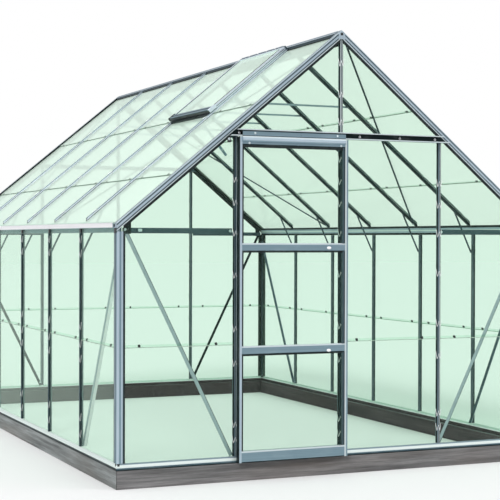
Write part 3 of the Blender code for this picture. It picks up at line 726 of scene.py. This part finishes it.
def make_ridge():
    edge, foot = RIDGE_HIGH.x, RIDGE_LOW.z
    inner, above, below = edge - 0.0085, GLASS_THICKNESS + 0.001, -0.0004

    def glass_line(x, out):
        return slope_height(x, SETBACK - out)

    # The bright and dark bands of the section are painted light and shade
    outline = mirrored([
        (0.0, APEX_Z, "bright"), (0.0045, APEX_Z - 0.0006, "bright"),
        (0.0070, APEX_Z - 0.0050, "dark"), (0.0085, APEX_Z - 0.0050, "slate"),
        (0.0120, APEX_Z - 0.0085, "bright"), (edge, APEX_Z - 0.016, "slate"),
        (edge, glass_line(edge, above), "dark"), (inner, glass_line(inner, above), "dark"),
        (inner, glass_line(inner, below), "dark"), (edge, glass_line(edge, below), "slate"),
        (edge, APEX_Z - 0.0500, "dark"), (edge - 0.004, APEX_Z - 0.0530, "dark"),
        (edge - 0.004, APEX_Z - 0.0680, "slate"), (edge, APEX_Z - 0.0710, "slate"),
        (edge, foot, "dark"), (0.0060, foot, "dark"), (0.0060, foot + 0.006, "dark"),
        (0.0, foot + 0.006, "dark"),
    ])
    rings = [[Vector((x, y, z)) for x, z, _ in outline] for y in (RIDGE_LOW.y, RIDGE_HIGH.y)]
    add_section("ridge_section", outline, rings, "y", "ridge_bar")


def make_apex_plates():
    """Small plates over the joint of the gable rafters, each with a bolt."""
    half, shoulder, foot = 0.020, slope_height(0.020, 0.003), APEX_Z - 0.050
    plates, bolts = new_shapes(2)
    for gable in GABLES.values():
        prism(plates, gable, [(0.0, APEX_Z - 0.003), (half, shoulder), (half, foot),
                              (-half, foot), (-half, shoulder)], (SETBACK + 0.0002, SETBACK + 0.0022))
        bolt(bolts, gable, 0.0, APEX_Z - 0.022, SETBACK + 0.0024, size=1.3)
    add_metal("apex_plates", plates, "bright", bevel=0.0008)
    add_plastic("apex_bolts", bolts)


# ---------------------------------------------------------------- glass

def pane(shape, place, a0, a1, foot, heads, lift=0.0):
    """A pane from its foot to its heads at a0 and at a1; lift raises the foot."""
    corners = [(a0, foot, lift), (a1, foot, lift), (a1, heads[1], 0.0), (a0, heads[0], 0.0)]
    loft(shape, [[place(a, b, out + up) for a, b, up in corners]
                 for out in (GAP, GAP + GLASS_THICKNESS)])


def joint_clip(shape, place, a, joint, way):
    """An S-shaped strip: it hooks over the lower pane's head and under the upper pane's foot."""
    half, t = 0.0058, 0.0006
    lap = JOINT_LAP + 0.0004
    inner, between, outer = -0.0008, 0.0034, 0.0074
    outline = [(-0.004, inner), (lap + t, inner), (lap + t, between + t), (-lap, between + t),
               (-lap, outer), (0.004, outer), (0.004, outer + t), (-lap - t, outer + t),
               (-lap - t, between), (lap, between), (lap, inner + t), (-0.004, inner + t)]
    loft(shape, [[place(a + side * half, joint + way * b, out) for b, out in outline]
                 for side in (-1, 1)])


def joint_row(clips, beads, place, a0, a1, joint, way=1):
    """A bead on the lower pane, along the foot of the upper one, and the joint's clips."""
    foot = joint - way * (JOINT_LAP + 0.0003)
    block(beads, place, (a0 + 0.001, a1 - 0.001), (foot, foot - way * 0.0036),
          (GAP + GLASS_THICKNESS + 0.0002, 0.0072))
    for share in CLIP_SHARES:
        joint_clip(clips, place, a0 + share * (a1 - a0), joint, way)


def add_joints(name, clips, beads, bead):
    add_plastic(f"{name}_joint_clips", clips)
    add_plastic(f"{name}_joint_beads", beads, bead)


def bays(first, last):
    """The clear spans between the bars' ribs, from one end of a wall to the other."""
    edge = RIB_HALF + 0.001
    starts = [first] + [y + edge for y in BAR_LINES]
    ends = [y - edge for y in BAR_LINES] + [last]
    return list(zip(starts, ends))


def make_wall_panes():
    for side, place in WALLS.items():
        low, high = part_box(f"{side}_wall_glass")
        lower, upper, clips, beads = new_shapes(4)
        for y0, y1 in bays(low.y, high.y):
            pane(lower, place, y0, y1, GLASS_FOOT, (WALL_JOINT_Z + JOINT_LAP,) * 2)
            pane(upper, place, y0, y1, WALL_JOINT_Z - JOINT_LAP, (WALL_GLASS_TOP,) * 2, LAP_LIFT)
            joint_row(clips, beads, place, y0, y1, WALL_JOINT_Z)
        add_glass(f"{side}_wall_lower_panes", lower, f"{side}_wall_glass")
        add_glass(f"{side}_wall_upper_panes", upper, f"{side}_wall_glass")
        add_joints(f"{side}_wall", clips, beads, JOINT_BEAD)


def make_roof_panes():
    head, eave = down_at(RIDGE_HIGH.x - 0.0075, 0.0), down_at(HALF_WIDTH - 0.024, 0.0)
    rows = {"top": (head, ROOF_JOINTS[0]), "middle": ROOF_JOINTS, "eave": (ROOF_JOINTS[1], eave)}
    for side, place in SLOPES.items():
        low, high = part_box(f"roof_glass_{side}")
        clips, beads = new_shapes(2)
        for row, (top, bottom) in rows.items():
            shape = bmesh.new()
            for number, (y0, y1) in enumerate(bays(low.y, high.y)):
                under_vent = side == "left" and number == 1
                if under_vent and row == "top":
                    continue
                start = top if row == "top" else top - JOINT_LAP
                if under_vent and row == "middle":
                    start = VENT_PANE_TOP
                if row == "eave":
                    pane(shape, place, y0, y1, bottom, (start, start))
                else:
                    pane(shape, place, y0, y1, bottom + JOINT_LAP, (start, start), LAP_LIFT)
                    joint_row(clips, beads, place, y0, y1, bottom, -1)
            add_glass(f"roof_{side}_{row}_panes", shape, f"roof_glass_{side}", ROOF_GLASS[side])
        add_joints(f"roof_{side}", clips, beads, ROOF_BEAD)


def make_gable_panes():
    edge, half = RIB_HALF + 0.001, HALF_WIDTH - POST_BLOCK - 0.0015
    spans = [(-half, -BAY - edge), (-BAY + edge, -edge), (edge, BAY - edge), (BAY + edge, half)]
    rail = TRACK_HIGH.z - 0.012
    for end, place in GABLES.items():
        lower, upper, top, clips, beads = new_shapes(5)
        for number, (x0, x1) in enumerate(spans):
            inner = number in (1, 2)
            doorway = end == "front" and number == 1
            slope = [slope_height(x, RAFTER_BLOCK + 0.0015) for x in (x0, x1)]
            if not doorway:
                pane(lower, place, x0, x1, GLASS_FOOT, (WALL_JOINT_Z + JOINT_LAP,) * 2)
                pane(upper, place, x0, x1, WALL_JOINT_Z - JOINT_LAP,
                     (rail + JOINT_LAP,) * 2 if inner else slope, LAP_LIFT)
                joint_row(clips, beads, place, x0, x1, WALL_JOINT_Z)
            if inner:
                pane(top, place, x0, x1, rail - JOINT_LAP, slope, 0.0 if doorway else LAP_LIFT)
        for row, shape in (("lower", lower), ("upper", upper), ("top", top)):
            add_glass(f"{end}_gable_{row}_panes", shape, f"{end}_glass")
        add_joints(f"{end}_gable", clips, beads, JOINT_BEAD)


# ---------------------------------------------------------------- seals and clips

# Near and far edge from the bar's middle, and the two depths
SEAL_UNDER = (0.0063, 0.0110, (0.00004, 0.00026))
# The strips over the glass are seals that also stand in for the shade along each rib's sides
SEAL_OVER = (0.0062, 0.0108, (0.0071, 0.0092))
# The feet of half a wire clip: across, along the bar, out
CLIP_FEET = ((0.0170, 0.022, 0.0087), (0.0125, -0.008, 0.0102), (0.0098, -0.019, 0.0106))


def add_seals(name, runs, strips=(SEAL_UNDER, SEAL_OVER)):
    """Black strips beside each bar's rib: runs are (place, centre, start, end)."""
    shape = bmesh.new()
    for place, centre, start, end in runs:
        for way in (-1, 1):
            for near, far, out in strips:
                block(shape, place, (centre + way * near, centre + way * far), (start, end), out)
    add_plastic(name, shape, SEAL)


def add_wire_clips(name, spots, height=RIB_HEIGHT, radius=0.0013):
    """Sprung Ws of wire at (place, a, b): the feet press on the glass, the peak is on the rib."""
    over = height + 0.0016
    half = [*CLIP_FEET, (0.0078, -0.013, over - 0.001), (0.0050, -0.004, over), (0.0, 0.011, over)]
    points = half + [(-x, y, z) for x, y, z in reversed(half[:-1])]
    shape = bmesh.new()
    for place, a, b in spots:
        tube(shape, [place(a + x, b + y, out) for x, y, out in points], radius)
    add_piece(name, shape, [WIRE])


def make_wall_seals_and_clips():
    heights = (0.200, 0.290, 0.610, 0.690, 0.790, 1.185, 1.262)
    for side, place in WALLS.items():
        add_seals(f"{side}_post_seals", [(place, y, POST_FOOT, POST_TOP) for y in BAR_LINES])
        add_wire_clips(f"{side}_post_wire_clips", [(place, y, z) for y in BAR_LINES for z in heights],
                       SIDE_RIB_HEIGHT, 0.0009)


def make_roof_seals_and_clips():
    places = (0.10, 0.56, 0.70, 1.16, 1.30, 1.54)
    head, foot = down_at(RIDGE_HIGH.x + 0.001, 0.0), down_at(HALF_WIDTH - EAVE_INNER - 0.001, 0.012)
    for side, place in SLOPES.items():
        # The vent covers the upper ends of the first two bars on its slope
        vent_foot = ROOF_JOINTS[0] + 0.03 if side == "left" else 0.0
        add_seals(f"{side}_rafter_seals", [(place, y, head, foot) for y in BAR_LINES], (SEAL_UNDER,))
        add_wire_clips(f"{side}_rafter_wire_clips",
                       [(place, y, down) for number, y in enumerate(BAR_LINES) for down in places
                        if number > 1 or down >= vent_foot], ROOF_RIB_HEIGHT)


def make_gable_seals_and_clips():
    lower = (0.22, 0.30, 0.62, 0.80, 1.08, 1.30, 1.46, 1.58)
    upper = (1.70, 1.90, 2.05, 2.22)
    for end, posts in GABLE_POSTS.items():
        place = GABLES[end]
        add_seals(f"{end}_post_seals",
                  [(place, x, POST_FOOT, slope_height(abs(x) + FLANGE_HALF, RAFTER_COVER + 0.001))
                   for x in posts.values()])
        add_wire_clips(f"{end}_post_wire_clips", [(place, x, z) for x in posts.values()
                                                  for z in (lower if x else lower + upper)])


def make_edge_seals():
    """Black seals along the inner edges of the gable rafters and the corner posts."""
    depth = (0.0072, SETBACK - 0.0006)
    near, far = RAFTER_COVER + 0.0004, RAFTER_COVER + 0.0130
    corners = [(near, depth[0]), (near, depth[1]), (far, depth[1]), (far, depth[0])]
    gables, walls = new_shapes(2)
    for place in GABLES.values():
        for sign in SIDES.values():
            loft(gables, [[place(x, slope_height(x, inset), out) for inset, out in corners]
                          for x in (sign * 0.0065, sign * (HALF_WIDTH - POST_COVER - 0.0005))])
            block(gables, place, [sign * (HALF_WIDTH - POST_COVER - d) for d in (0.0003, 0.0085)],
                  (POST_FOOT, CORNER_TOP - 0.012), depth)
    add_plastic("gable_edge_seals", gables, SEAL)
    for place in WALLS.values():
        for y in (FRONT + POST_COVER + 0.0003, BACK - POST_COVER - 0.0055):
            block(walls, place, (y, y + 0.0052), (POST_FOOT, POST_TOP), depth)
    add_plastic("side_wall_edge_seals", walls, SEAL)


def make_rafter_edge_seals():
    """Black seals where the roof's glass meets the gable rafters and the ridge."""
    shape = bmesh.new()
    head, foot = down_at(RIDGE_HIGH.x + 0.001, 0.006), down_at(HALF_WIDTH - EAVE_INNER, 0.006)
    spans = bays(FRONT + RAFTER_DEPTH + 0.010, BACK - RAFTER_DEPTH - 0.010)
    for side, place in SLOPES.items():
        for y in (FRONT + RAFTER_DEPTH + 0.0003, BACK - RAFTER_DEPTH - 0.0073):
            block(shape, place, (y, y + 0.0070), (head, foot), (0.0071, 0.0110))
        for number, (y0, y1) in enumerate(spans):
            if side == "right" or number != 1:
                block(shape, place, (y0 + 0.006, y1 - 0.006), (head, head + 0.006), (0.0036, 0.0080))
    add_plastic("roof_edge_seals", shape, SEAL)


# ---------------------------------------------------------------- ties and braces

BAR_FACE = INSIDE - 0.0016        # where bolts stand on the inner face of a flat bar


def make_wall_braces():
    """Angle bars across the end bays: one leg on the wall's bars, one reaching inwards."""
    foot_z, head_z = POST_FOOT + 0.012, POST_TOP - 0.060
    width, leg, wall, reach = 0.020, 0.018, 0.0022, 0.008
    # Tones of painted light and shade: the left wall's brace legs are painted light, the right wall's
    # painted shade, and the bars' inner faces darker
    tones = {"left": (("brace", "pale"), "gutter"), "right": (("brace", "dark"), "slate")}
    bolts = bmesh.new()
    for side, place in WALLS.items():
        outward = Vector((SIDES[side], 0, 0))
        bars, legs = new_shapes(2)
        for corner, line in ((FRONT + 0.038, BAR_LINES[0]), (BACK - 0.038, BAR_LINES[-1])):
            start, end = place(corner, head_z, INSIDE), place(line, foot_z, INSIDE)
            strap(bars, start, end, outward, width, 0.0030, reach, 0.22)
            towards_door = outward.cross(end - start).normalized()
            towards_door *= -1 if towards_door.y > 0 else 1
            offset = towards_door * (width - wall) / 2 - outward * (leg / 2 + 0.0016)
            strap(legs, start + offset, end + offset, towards_door, leg, wall, reach)
            for y, z in ((corner, head_z), (line, foot_z)):
                bolt(bolts, place, y, z, BAR_FACE, -1)
        add_metal(f"{side}_wall_braces", bars, tones[side][0], bevel=0.0003)
        add_metal(f"{side}_wall_brace_legs", legs, tones[side][1], bevel=0.0003)
    add_metal("side_wall_brace_bolts", bolts, "bright")


def make_gable_braces():
    """Flat braces, ties at eave level and corner plates in the gables' outer bays."""
    top_x, foot_x, foot_z = HALF_WIDTH - 0.059, BAY + 0.019, POST_FOOT + 0.010
    tie_z, tie_out = EAVE_Z - 0.053, INSIDE - 0.0022
    far, near, base = HALF_WIDTH - 0.0385, HALF_WIDTH - 0.084, EAVE_Z - 0.056
    plate = [(far, base), (near, base), (near, slope_height(near, 0.046)),
             (far, slope_height(far, 0.046))]
    bolt_places = ((far - 0.012, base + 0.022), (near - 0.044, tie_z + 0.016),
                   (near - 0.052, tie_z + 0.016), (BAY + 0.024, tie_z + 0.014))
    for end, _, inward in ENDS:
        place, inwards = GABLES[end], Vector((0, inward, 0))
        bars, ties, plates, bolts = new_shapes(4)
        for sign in SIDES.values():
            strap(bars, place(sign * top_x, EAVE_Z - 0.050, INSIDE),
                  place(sign * foot_x, foot_z, INSIDE), -inwards, 0.0205, 0.0030, 0.010, 0.12)
            bolt(bolts, place, sign * foot_x, foot_z + 0.012, BAR_FACE, -1)
            angle_bar(ties, place(sign * (HALF_WIDTH - 0.040), tie_z, tie_out),
                      place(sign * (BAY + 0.012), tie_z, tie_out), Vector((0, 0, 1)), inwards,
                      0.028, 0.018)
            prism(plates, place, [(sign * x, z) for x, z in plate], (INSIDE + 0.0017, INSIDE + 0.0037))
            for x, z in bolt_places:
                bolt(bolts, place, sign * x, z, INSIDE + 0.0038, 1, 1.3)
        # The back gable's braces are painted darker as shade, and their inner faces dark
        face = "brace" if end == "front" else "slate"
        add_metal(f"{end}_gable_braces", bars, (face, "dark"), bevel=0.0003)
        add_metal(f"{end}_eave_ties", ties, "slate", "x")
        add_metal(f"{end}_corner_plates", plates, "dark", bevel=0.0005)
        add_metal(f"{end}_gable_bolts", bolts, "white")


def make_roof_braces():
    """Slim angle bars across the end bays of each slope."""
    head, foot = down_at(RIDGE_HIGH.x + 0.045, 0.0), down_at(HALF_WIDTH - 0.062, 0.0)
    bars, bolts = new_shapes(2)
    for place in SLOPES.values():
        outward = place(0, 0, 1) - place(0, 0, 0)
        for corner, line in ((FRONT + 0.052, BAR_LINES[1]), (BACK - 0.052, BAR_LINES[-2])):
            start, end = place(corner, head, INSIDE), place(line, foot, INSIDE)
            strap(bars, start, end, outward, 0.0090, 0.0024, 0.010)
            edge = outward.cross(end - start).normalized() * 0.0035 - outward * 0.0036
            strap(bars, start + edge, end + edge, outward, 0.0018, 0.0048, 0.010)
            for y, down in ((corner, head), (line, foot)):
                bolt(bolts, place, y, down, BAR_FACE, -1)
    add_metal("roof_braces", bars, "slate", bevel=0.0004)
    add_metal("roof_brace_bolts", bolts, "bright")


def make_frame_ties():
    """Collar ties and knee braces beside each inner pair of rafters."""
    beside, width, thickness, facing = 0.0100, 0.011, 0.0025, Vector((0, 1, 0))
    collar_z = 2.052
    collar_x = (APEX_Z - collar_z) / TAN - (SETBACK + 0.0070) / SIN
    knee_head, knee_foot = (1.137, 1.4305), (1.2525, 1.191)
    collars, knees, bolts = new_shapes(3)
    for y in BAR_LINES:
        at = y + beside
        strap(collars, upright(-collar_x, collar_z, at), upright(collar_x, collar_z, at), facing,
              width, thickness)
        for sign in SIDES.values():
            head, foot = (upright(sign * x, z, at) for x, z in (knee_head, knee_foot))
            strap(knees, head, foot, facing, width, thickness, 0.004)
            for x, z in (knee_head, knee_foot, (collar_x - 0.008, collar_z)):
                for way in (1, -1):
                    bolt(bolts, upright, sign * x, z, at + way * 0.0014, way, 0.9)
    add_metal("collar_ties", collars, "pale", "x", bevel=0.0004)
    add_metal("knee_braces", knees, "slate", bevel=0.0004)
    add_metal("frame_tie_bolts", bolts, "pale")


# ---------------------------------------------------------------- base

def make_base_boards():
    """Four mitred boards with slightly worn top edges."""
    # The side boards are painted lighter than the front and back ones as painted light, and the inner
    # faces dark as painted shade
    front = timber_material("weathered_board_front", "x", (0.146, 0.144, 0.145))
    side = timber_material("weathered_board_side", "y", (0.205, 0.222, 0.222))
    inner = timber_material("shaded_board", "y", (0.046, 0.032, 0.037))
    thickness, joint, wear, stations = 0.045, 0.0016, 0.0009, 25
    outline = [(0.0, 0.0), (0.0, 1.0), (1.0, 1.0), (1.0, 0.0)]      # shares of thickness, height
    boards = {
        "left": (side, HALF_WIDTH, HALF_LENGTH, lambda a, b, z: Vector((-a, MIDDLE + b, z))),
        "right": (side, HALF_WIDTH, HALF_LENGTH, lambda a, b, z: Vector((a, MIDDLE + b, z))),
        "front": (front, -FRONT, HALF_WIDTH, lambda a, b, z: Vector((b, -a, z))),
        "back": (front, BACK, HALF_WIDTH, lambda a, b, z: Vector((b, a, z))),
    }
    for name, (outer, face, half, place) in boards.items():
        shape, rings = bmesh.new(), []
        for step in range(stations):
            share = 2 * step / (stations - 1) - 1
            ring = []
            for depth, height in outline:
                along = share * (half - depth * thickness - joint)
                worn = wear * math.sin(2.3 * along + face) * math.sin(5.1 * along + 1.0)
                top = BASE_TOP - wear + min(0.0, worn)
                ring.append(place(face - depth * thickness, along, height * top))
            rings.append(ring)
        loft(shape, rings, [0, 0, 1, 0])
        add_piece(f"base_board_{name}", shape, [outer, inner], bevel=0.0016,
                  replaces=["base_frame"])


# ---------------------------------------------------------------- door

DOOR_GLASS_OUT = 0.0180           # front face of the door's glass
RAIL_BOLT_OUT, HANGER_BOLT_OUT = 0.0342, 0.0397
HANGER_FOOT = 1.757
RAIL_MIDDLES = {name: (low.z + high.z) / 2 for name, (low, high) in RAILS.items()}


def make_door_panes():
    low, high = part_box("door_glass")
    lower, upper, gap = RAIL_MIDDLES["lower"], RAIL_MIDDLES["upper"], 0.001
    heights = {"lower": (low.z, lower - gap), "middle": (lower + gap, upper - gap),
               "upper": (upper + gap, high.z)}
    for name, limits in heights.items():
        shape = bmesh.new()
        block(shape, in_front, (low.x, high.x), limits, (FRONT - high.y, FRONT - low.y))
        add_glass(f"door_{name}_pane", shape, "door_glass", body="door")


def make_door_seals():
    """Seals round the door's panes, and the right stile's return over the glass."""
    left, right = DOOR_LEFT + STILE_WIDTH + GAP, DOOR_RIGHT - STILE_WIDTH - GAP
    depth = (DOOR_GLASS_OUT + GAP, FRONT - DOOR_FRONT - 0.0004)
    heads = (RAILS["lower"][0].z, RAILS["upper"][0].z, HANGER_FOOT)
    seals, returns = new_shapes(2)
    for (_, rail), head, under in zip(RAILS.values(), heads, (0.0065, 0.0065, 0.0110)):
        z = (rail.z + GAP, head - GAP)
        block(seals, in_front, (left, left + 0.0080), z, depth)
        block(seals, in_front, (right - 0.0045, right), z, depth)
        block(seals, in_front, (left + 0.0083, right - 0.0138), (z[1] - under, z[1]), depth)
        block(returns, in_front, (right - 0.0135, right - 0.0048), z, depth)
    add_plastic("door_glass_seals", seals, SEAL, "door")
    add_metal("door_stile_return", returns, "slate", body="door", bevel=0.0004)


def make_door_knobs():
    x, heights, radius_x, radius_z = -0.092, (1.221, 0.673), 0.0125, 0.0080
    profile = ((1.0, 0.0004), (1.0, 0.0035), (0.86, 0.0058), (0.5, 0.0074), (0.12, 0.0078))
    shape = bmesh.new()
    for z in heights:
        loft(shape, [disc_ring(in_front, x, z, FRONT - DOOR_FRONT + out, radius_x * grow,
                               radius_z * grow, 20) for grow, out in profile])
    add_plastic("door_pulls", shape, WHITE_PLASTIC, "door")


def make_door_bolts():
    """Bolts of the two hangers, and small rivets on the hanger and the middle rails."""
    bolts, rivets = new_shapes(2)
    for upper_x, lower_x in ((-0.53, -0.56), (-0.045, -0.020)):
        bolt(bolts, in_front, upper_x, 1.820, HANGER_BOLT_OUT)
        bolt(bolts, in_front, lower_x, 1.768, RAIL_BOLT_OUT)
    add_metal("door_hanger_bolts", bolts, "white", "x", "door")
    bolt(rivets, in_front, -0.26, 1.818, HANGER_BOLT_OUT, size=0.8)
    bolt(rivets, in_front, -0.28, 1.766, RAIL_BOLT_OUT, size=0.8)
    for rail in ("lower", "upper"):
        for x in (DOOR_LEFT + 0.045, -0.30):
            bolt(rivets, in_front, x, RAIL_MIDDLES[rail], RAIL_BOLT_OUT, size=0.55)
    add_metal("door_rivets", rivets, "mid", "x", "door")


def make_door_guides():
    """Low plastic runners on the door's back, close to the sill."""
    shape, gap_to_sill = bmesh.new(), 0.0007
    for x in (DOOR_LEFT + 0.006, DOOR_RIGHT - 0.046):
        block(shape, in_front, (x, x + 0.040), (0.1015, 0.1240),
              (gap_to_sill, FRONT - DOOR_BACK - GAP))
    add_plastic("door_guides", shape, WHITE_PLASTIC, "door", 0.0012)


def make_track_fittings():
    """Bolts along the door's track, and the stop under its left end."""
    middle = (TRACK_LOW.z + TRACK_HIGH.z) / 2
    stop_x, stop_z = TRACK_LOW.x + 0.010, TRACK_LOW.z - 0.004
    bolts, stop, stop_bolt = new_shapes(3)
    for x in (-0.604, 0.11, 0.36, 0.585):
        bolt(bolts, in_front, x, middle, 0.0030, size=1.2)
    block(stop, in_front, (stop_x - 0.014, stop_x + 0.004), (stop_z - 0.030, stop_z - GAP),
          (0.0004, 0.0062))
    bolt(stop_bolt, in_front, stop_x - 0.006, stop_z - 0.012, 0.0064, size=1.2)
    add_metal("track_bolts", bolts, "gutter", "x")
    add_plastic("track_end_stop", stop, bevel=0.0008)
    add_metal("track_end_bolt", stop_bolt, "white", "x")


# ---------------------------------------------------------------- vent

def make_vent_details():
    """The sash's handle bars, corner caps, side seals and rivets."""
    place, half, face, end = shifted(SLOPES["left"], VENT_Y), VENT_HALF, VENT_OUT, VENT_END_DOWN
    bars, near_cap, far_cap, seals, rivets = new_shapes(5)
    for down, depth in ((end - 0.040, 0.0035), (end - 0.016, 0.0045)):
        block(bars, place, (0.012 - half, half - 0.012), (down, down + 0.0135),
              (face + GAP, face + depth))
    cap = [(half - 0.0115, face + GAP), (half + GAP, face + GAP), (half + GAP, face - 0.0160),
           (half + 0.0035, face - 0.0160), (half + 0.0035, face + 0.0055),
           (half - 0.0115, face + 0.0055)]
    for shape, way in ((near_cap, -1), (far_cap, 1)):
        loft(shape, [[place(way * a, down, out) for a, out in cap]
                     for down in (end - 0.050, end + 0.002)])
        block(seals, place, (way * (half - 0.0305), way * (half - 0.0345)), (0.062, end - 0.046),
              (face - 0.0010, face + 0.0012))
        block(seals, place, (way * (half + GAP), way * (half + 0.0012)), (0.045, end - 0.052),
              (face - 0.0105, face - 0.0080))
        for down in (0.050, 0.330, 0.600):
            bolt(rivets, place, way * (half - 0.014), down, face + GAP, size=0.7)
    add_metal("vent_handle_bars", bars, "mid", "y", "vent", 0.001)
    add_metal("vent_near_corner_cap", near_cap, "frost", "left_slope", "vent", 0.0006)
    add_plastic("vent_far_corner_cap", far_cap, body="vent", bevel=0.0006)
    add_plastic("vent_side_seals", seals, SEAL, "vent")
    add_metal("vent_corner_rivets", rivets, "white", "y", "vent")


def make_vent_hinge_and_peg():
    """The hinge's rolled edge along the sash's head, and the peg that holds the stay."""
    place = shifted(SLOPES["left"], VENT_Y)
    rolls, peg = new_shapes(2)
    roll_length, spacing, points = 0.1, 0.122, 5
    for index in range(5):
        start = -VENT_HALF + 0.02 + index * spacing
        tube(rolls, [place(start + step * roll_length / (points - 1), VENT_TOP_DOWN + 0.0045,
                           VENT_OUT + 0.0026) for step in range(points)], 0.0022, 10)
    add_metal("vent_hinge_rolls", rolls, "bright", "y", "vent")
    bolt(peg, place, -0.0120, 0.612, -0.0010, size=0.6)
    add_plastic("stay_peg_head", peg)


# ---------------------------------------------------------------- carried-over nodes

def paint(node, material, bevel=0.0006):
    """Gives a frame node its finish, and softens its edges."""
    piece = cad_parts[node]
    piece.data.materials.clear()
    piece.data.materials.append(material)
    if bevel:
        round_edges(piece, bevel)


def paint_banded(node, grain, axis, bands, bevel, finish=None):
    paint(node, banded_aluminium(f"{finish or node}_finish", grain, axis, bands), bevel)


def paint_nodes():
    across, up = (1, 0, 0), (0, 0, 1)
    # The bands on the door's stiles, rails and hanger, the track and the vent frame are painted light
    # and shade: lit edges and shadow lines
    paint_banded("door_left_stile", "z", across,
                 [(DOOR_LEFT + 0.0050, "dark"), (0, "bright")], 0.0012)
    paint_banded("door_right_stile", "z", across,
                 [(DOOR_RIGHT - 0.0090, "white"), (0, "mid")], 0.0012)
    for name, (low, high) in RAILS.items():
        paint_banded(f"door_{name}_rail", "x", up, [
            (low.z + 0.0035, "dark"), (high.z - 0.0085, "mid"), (0, "white")], 0.0010)
    paint_banded("door_hanger_rail", "x", up, [
        (1.7625, "dark"), (1.7800, "mid"), (1.7830, "pale"), (1.7960, "bright"),
        (1.8040, "white"), (1.8065, "dark"), (1.8270, "mid"), (0, "slate")], 0.0010, "hanger")
    back = -TRACK_HIGH.y + 0.0036
    paint_banded("front_head_rail", "x", (0, -1, 0), [
        (back, "dark"), (back + 0.024, "slate"), (0, "white")], 0.0, "track")
    # The back rail is painted in a dark tone as shade
    paint("back_head_rail", aluminium("slate", "x"))
    paint("vent_cill", aluminium("dark", "y"))
    apex = -SIN * APEX_Z
    paint_banded("vent_frame", "left_slope", (-COS, 0.0, -SIN), [
        (apex + 0.040, "slate"), (apex + VENT_END_DOWN - 0.046, "frost"), (0, "dark")],
        0.0008, "vent")
    paint("vent_glass", ROOF_GLASS["left"], 0.0)
    paint("vent_stay", aluminium("mid", "left_slope"), 0.0003)
    for side in SIDES:
        paint(f"door_roller_{side}", BLACK_PLASTIC, 0.0)


# ---------------------------------------------------------------- studio

def make_studio():
    """A pale floor, a grey sky that the camera sees as white, and two soft suns."""
    scene, reach = bpy.context.scene, 60.0
    mesh = bpy.data.meshes.new("studio_floor")
    mesh.from_pydata([(-reach, -reach, 0), (reach, -reach, 0), (reach, reach, 0),
                      (-reach, reach, 0)], [], [(0, 1, 2, 3)])
    mesh.materials.append(new_graph("pale_floor").surface((0.85, 0.85, 0.85), 0.9,
                                                          more={"Specular IOR Level": 0.0}))
    floor = bpy.data.objects.new("studio_floor", mesh)
    floor.location.z = -0.0005
    scene.collection.objects.link(floor)

    scene.world = bpy.data.worlds.new("studio")
    graph = Graph(scene.world)
    split = graph.add("SeparateXYZ", {"Vector": graph.add("TexCoord").outputs["Generated"]})
    height = graph.add("MapRange", {"Value": split.outputs["Z"], "From Min": -1.0})
    greys = ((0.0, 0.95), (0.50, 0.70), (0.56, 0.45), (0.75, 0.78), (1.0, 0.84))
    sky = graph.ramp(height.outputs["Result"],
                     [(position, (grey, grey, grey * 1.01)) for position, grey in greys])
    seen = graph.add("LightPath").outputs["Is Camera Ray"]
    graph.fill(graph.nodes["Background"], {"Color": graph.mix(seen, sky, (1.0, 1.0, 1.0))})

    for name, towards, strength, width in (("key", (-0.62, -0.60, 0.62), 1.85, 18.0),
                                           ("fill", (0.75, -0.55, 0.45), 0.5, 30.0)):
        data = bpy.data.lights.new(name, "SUN")
        data.energy = strength
        data.angle = math.radians(width)
        lamp = bpy.data.objects.new(name, data)
        lamp.rotation_euler = Vector(towards).to_track_quat("Z", "Y").to_euler()
        scene.collection.objects.link(lamp)
    scene.view_settings.view_transform = "Standard"


def make_camera():
    """The camera stands to the left in front of the door's gable, at eye height."""
    data = bpy.data.cameras.new("camera")
    data.sensor_width = 36.0
    data.lens = 97.43
    data.shift_x = 0.060
    data.clip_end = 200.0
    camera = bpy.data.objects.new("camera", data)
    turn, tilt, roll = -0.4025, -0.0079, 0.0027
    rotation = (Matrix.Rotation(turn, 4, "Z") @ Matrix.Rotation(math.pi / 2 + tilt, 4, "X")
                @ Matrix.Rotation(roll, 4, "Z"))
    camera.matrix_world = Matrix.Translation((-3.464, FRONT - 6.4666, 1.2653)) @ rotation
    bpy.context.scene.collection.objects.link(camera)
    bpy.context.scene.camera = camera


for make in (
    make_camera, make_studio, make_base_boards, make_sill, make_corner_posts, make_corner_plugs,
    make_side_posts, make_gable_posts, make_eaves, make_rafters, make_ridge, make_gable_rafters,
    make_apex_plates, make_wall_panes, make_roof_panes, make_gable_panes,
    make_wall_seals_and_clips, make_roof_seals_and_clips, make_gable_seals_and_clips,
    make_edge_seals, make_rafter_edge_seals, make_wall_braces, make_gable_braces,
    make_roof_braces, make_frame_ties, make_door_panes, make_door_seals, make_door_knobs,
    make_door_bolts, make_door_guides, make_track_fittings, make_vent_details,
    make_vent_hinge_and_peg, paint_nodes,
):
    make()
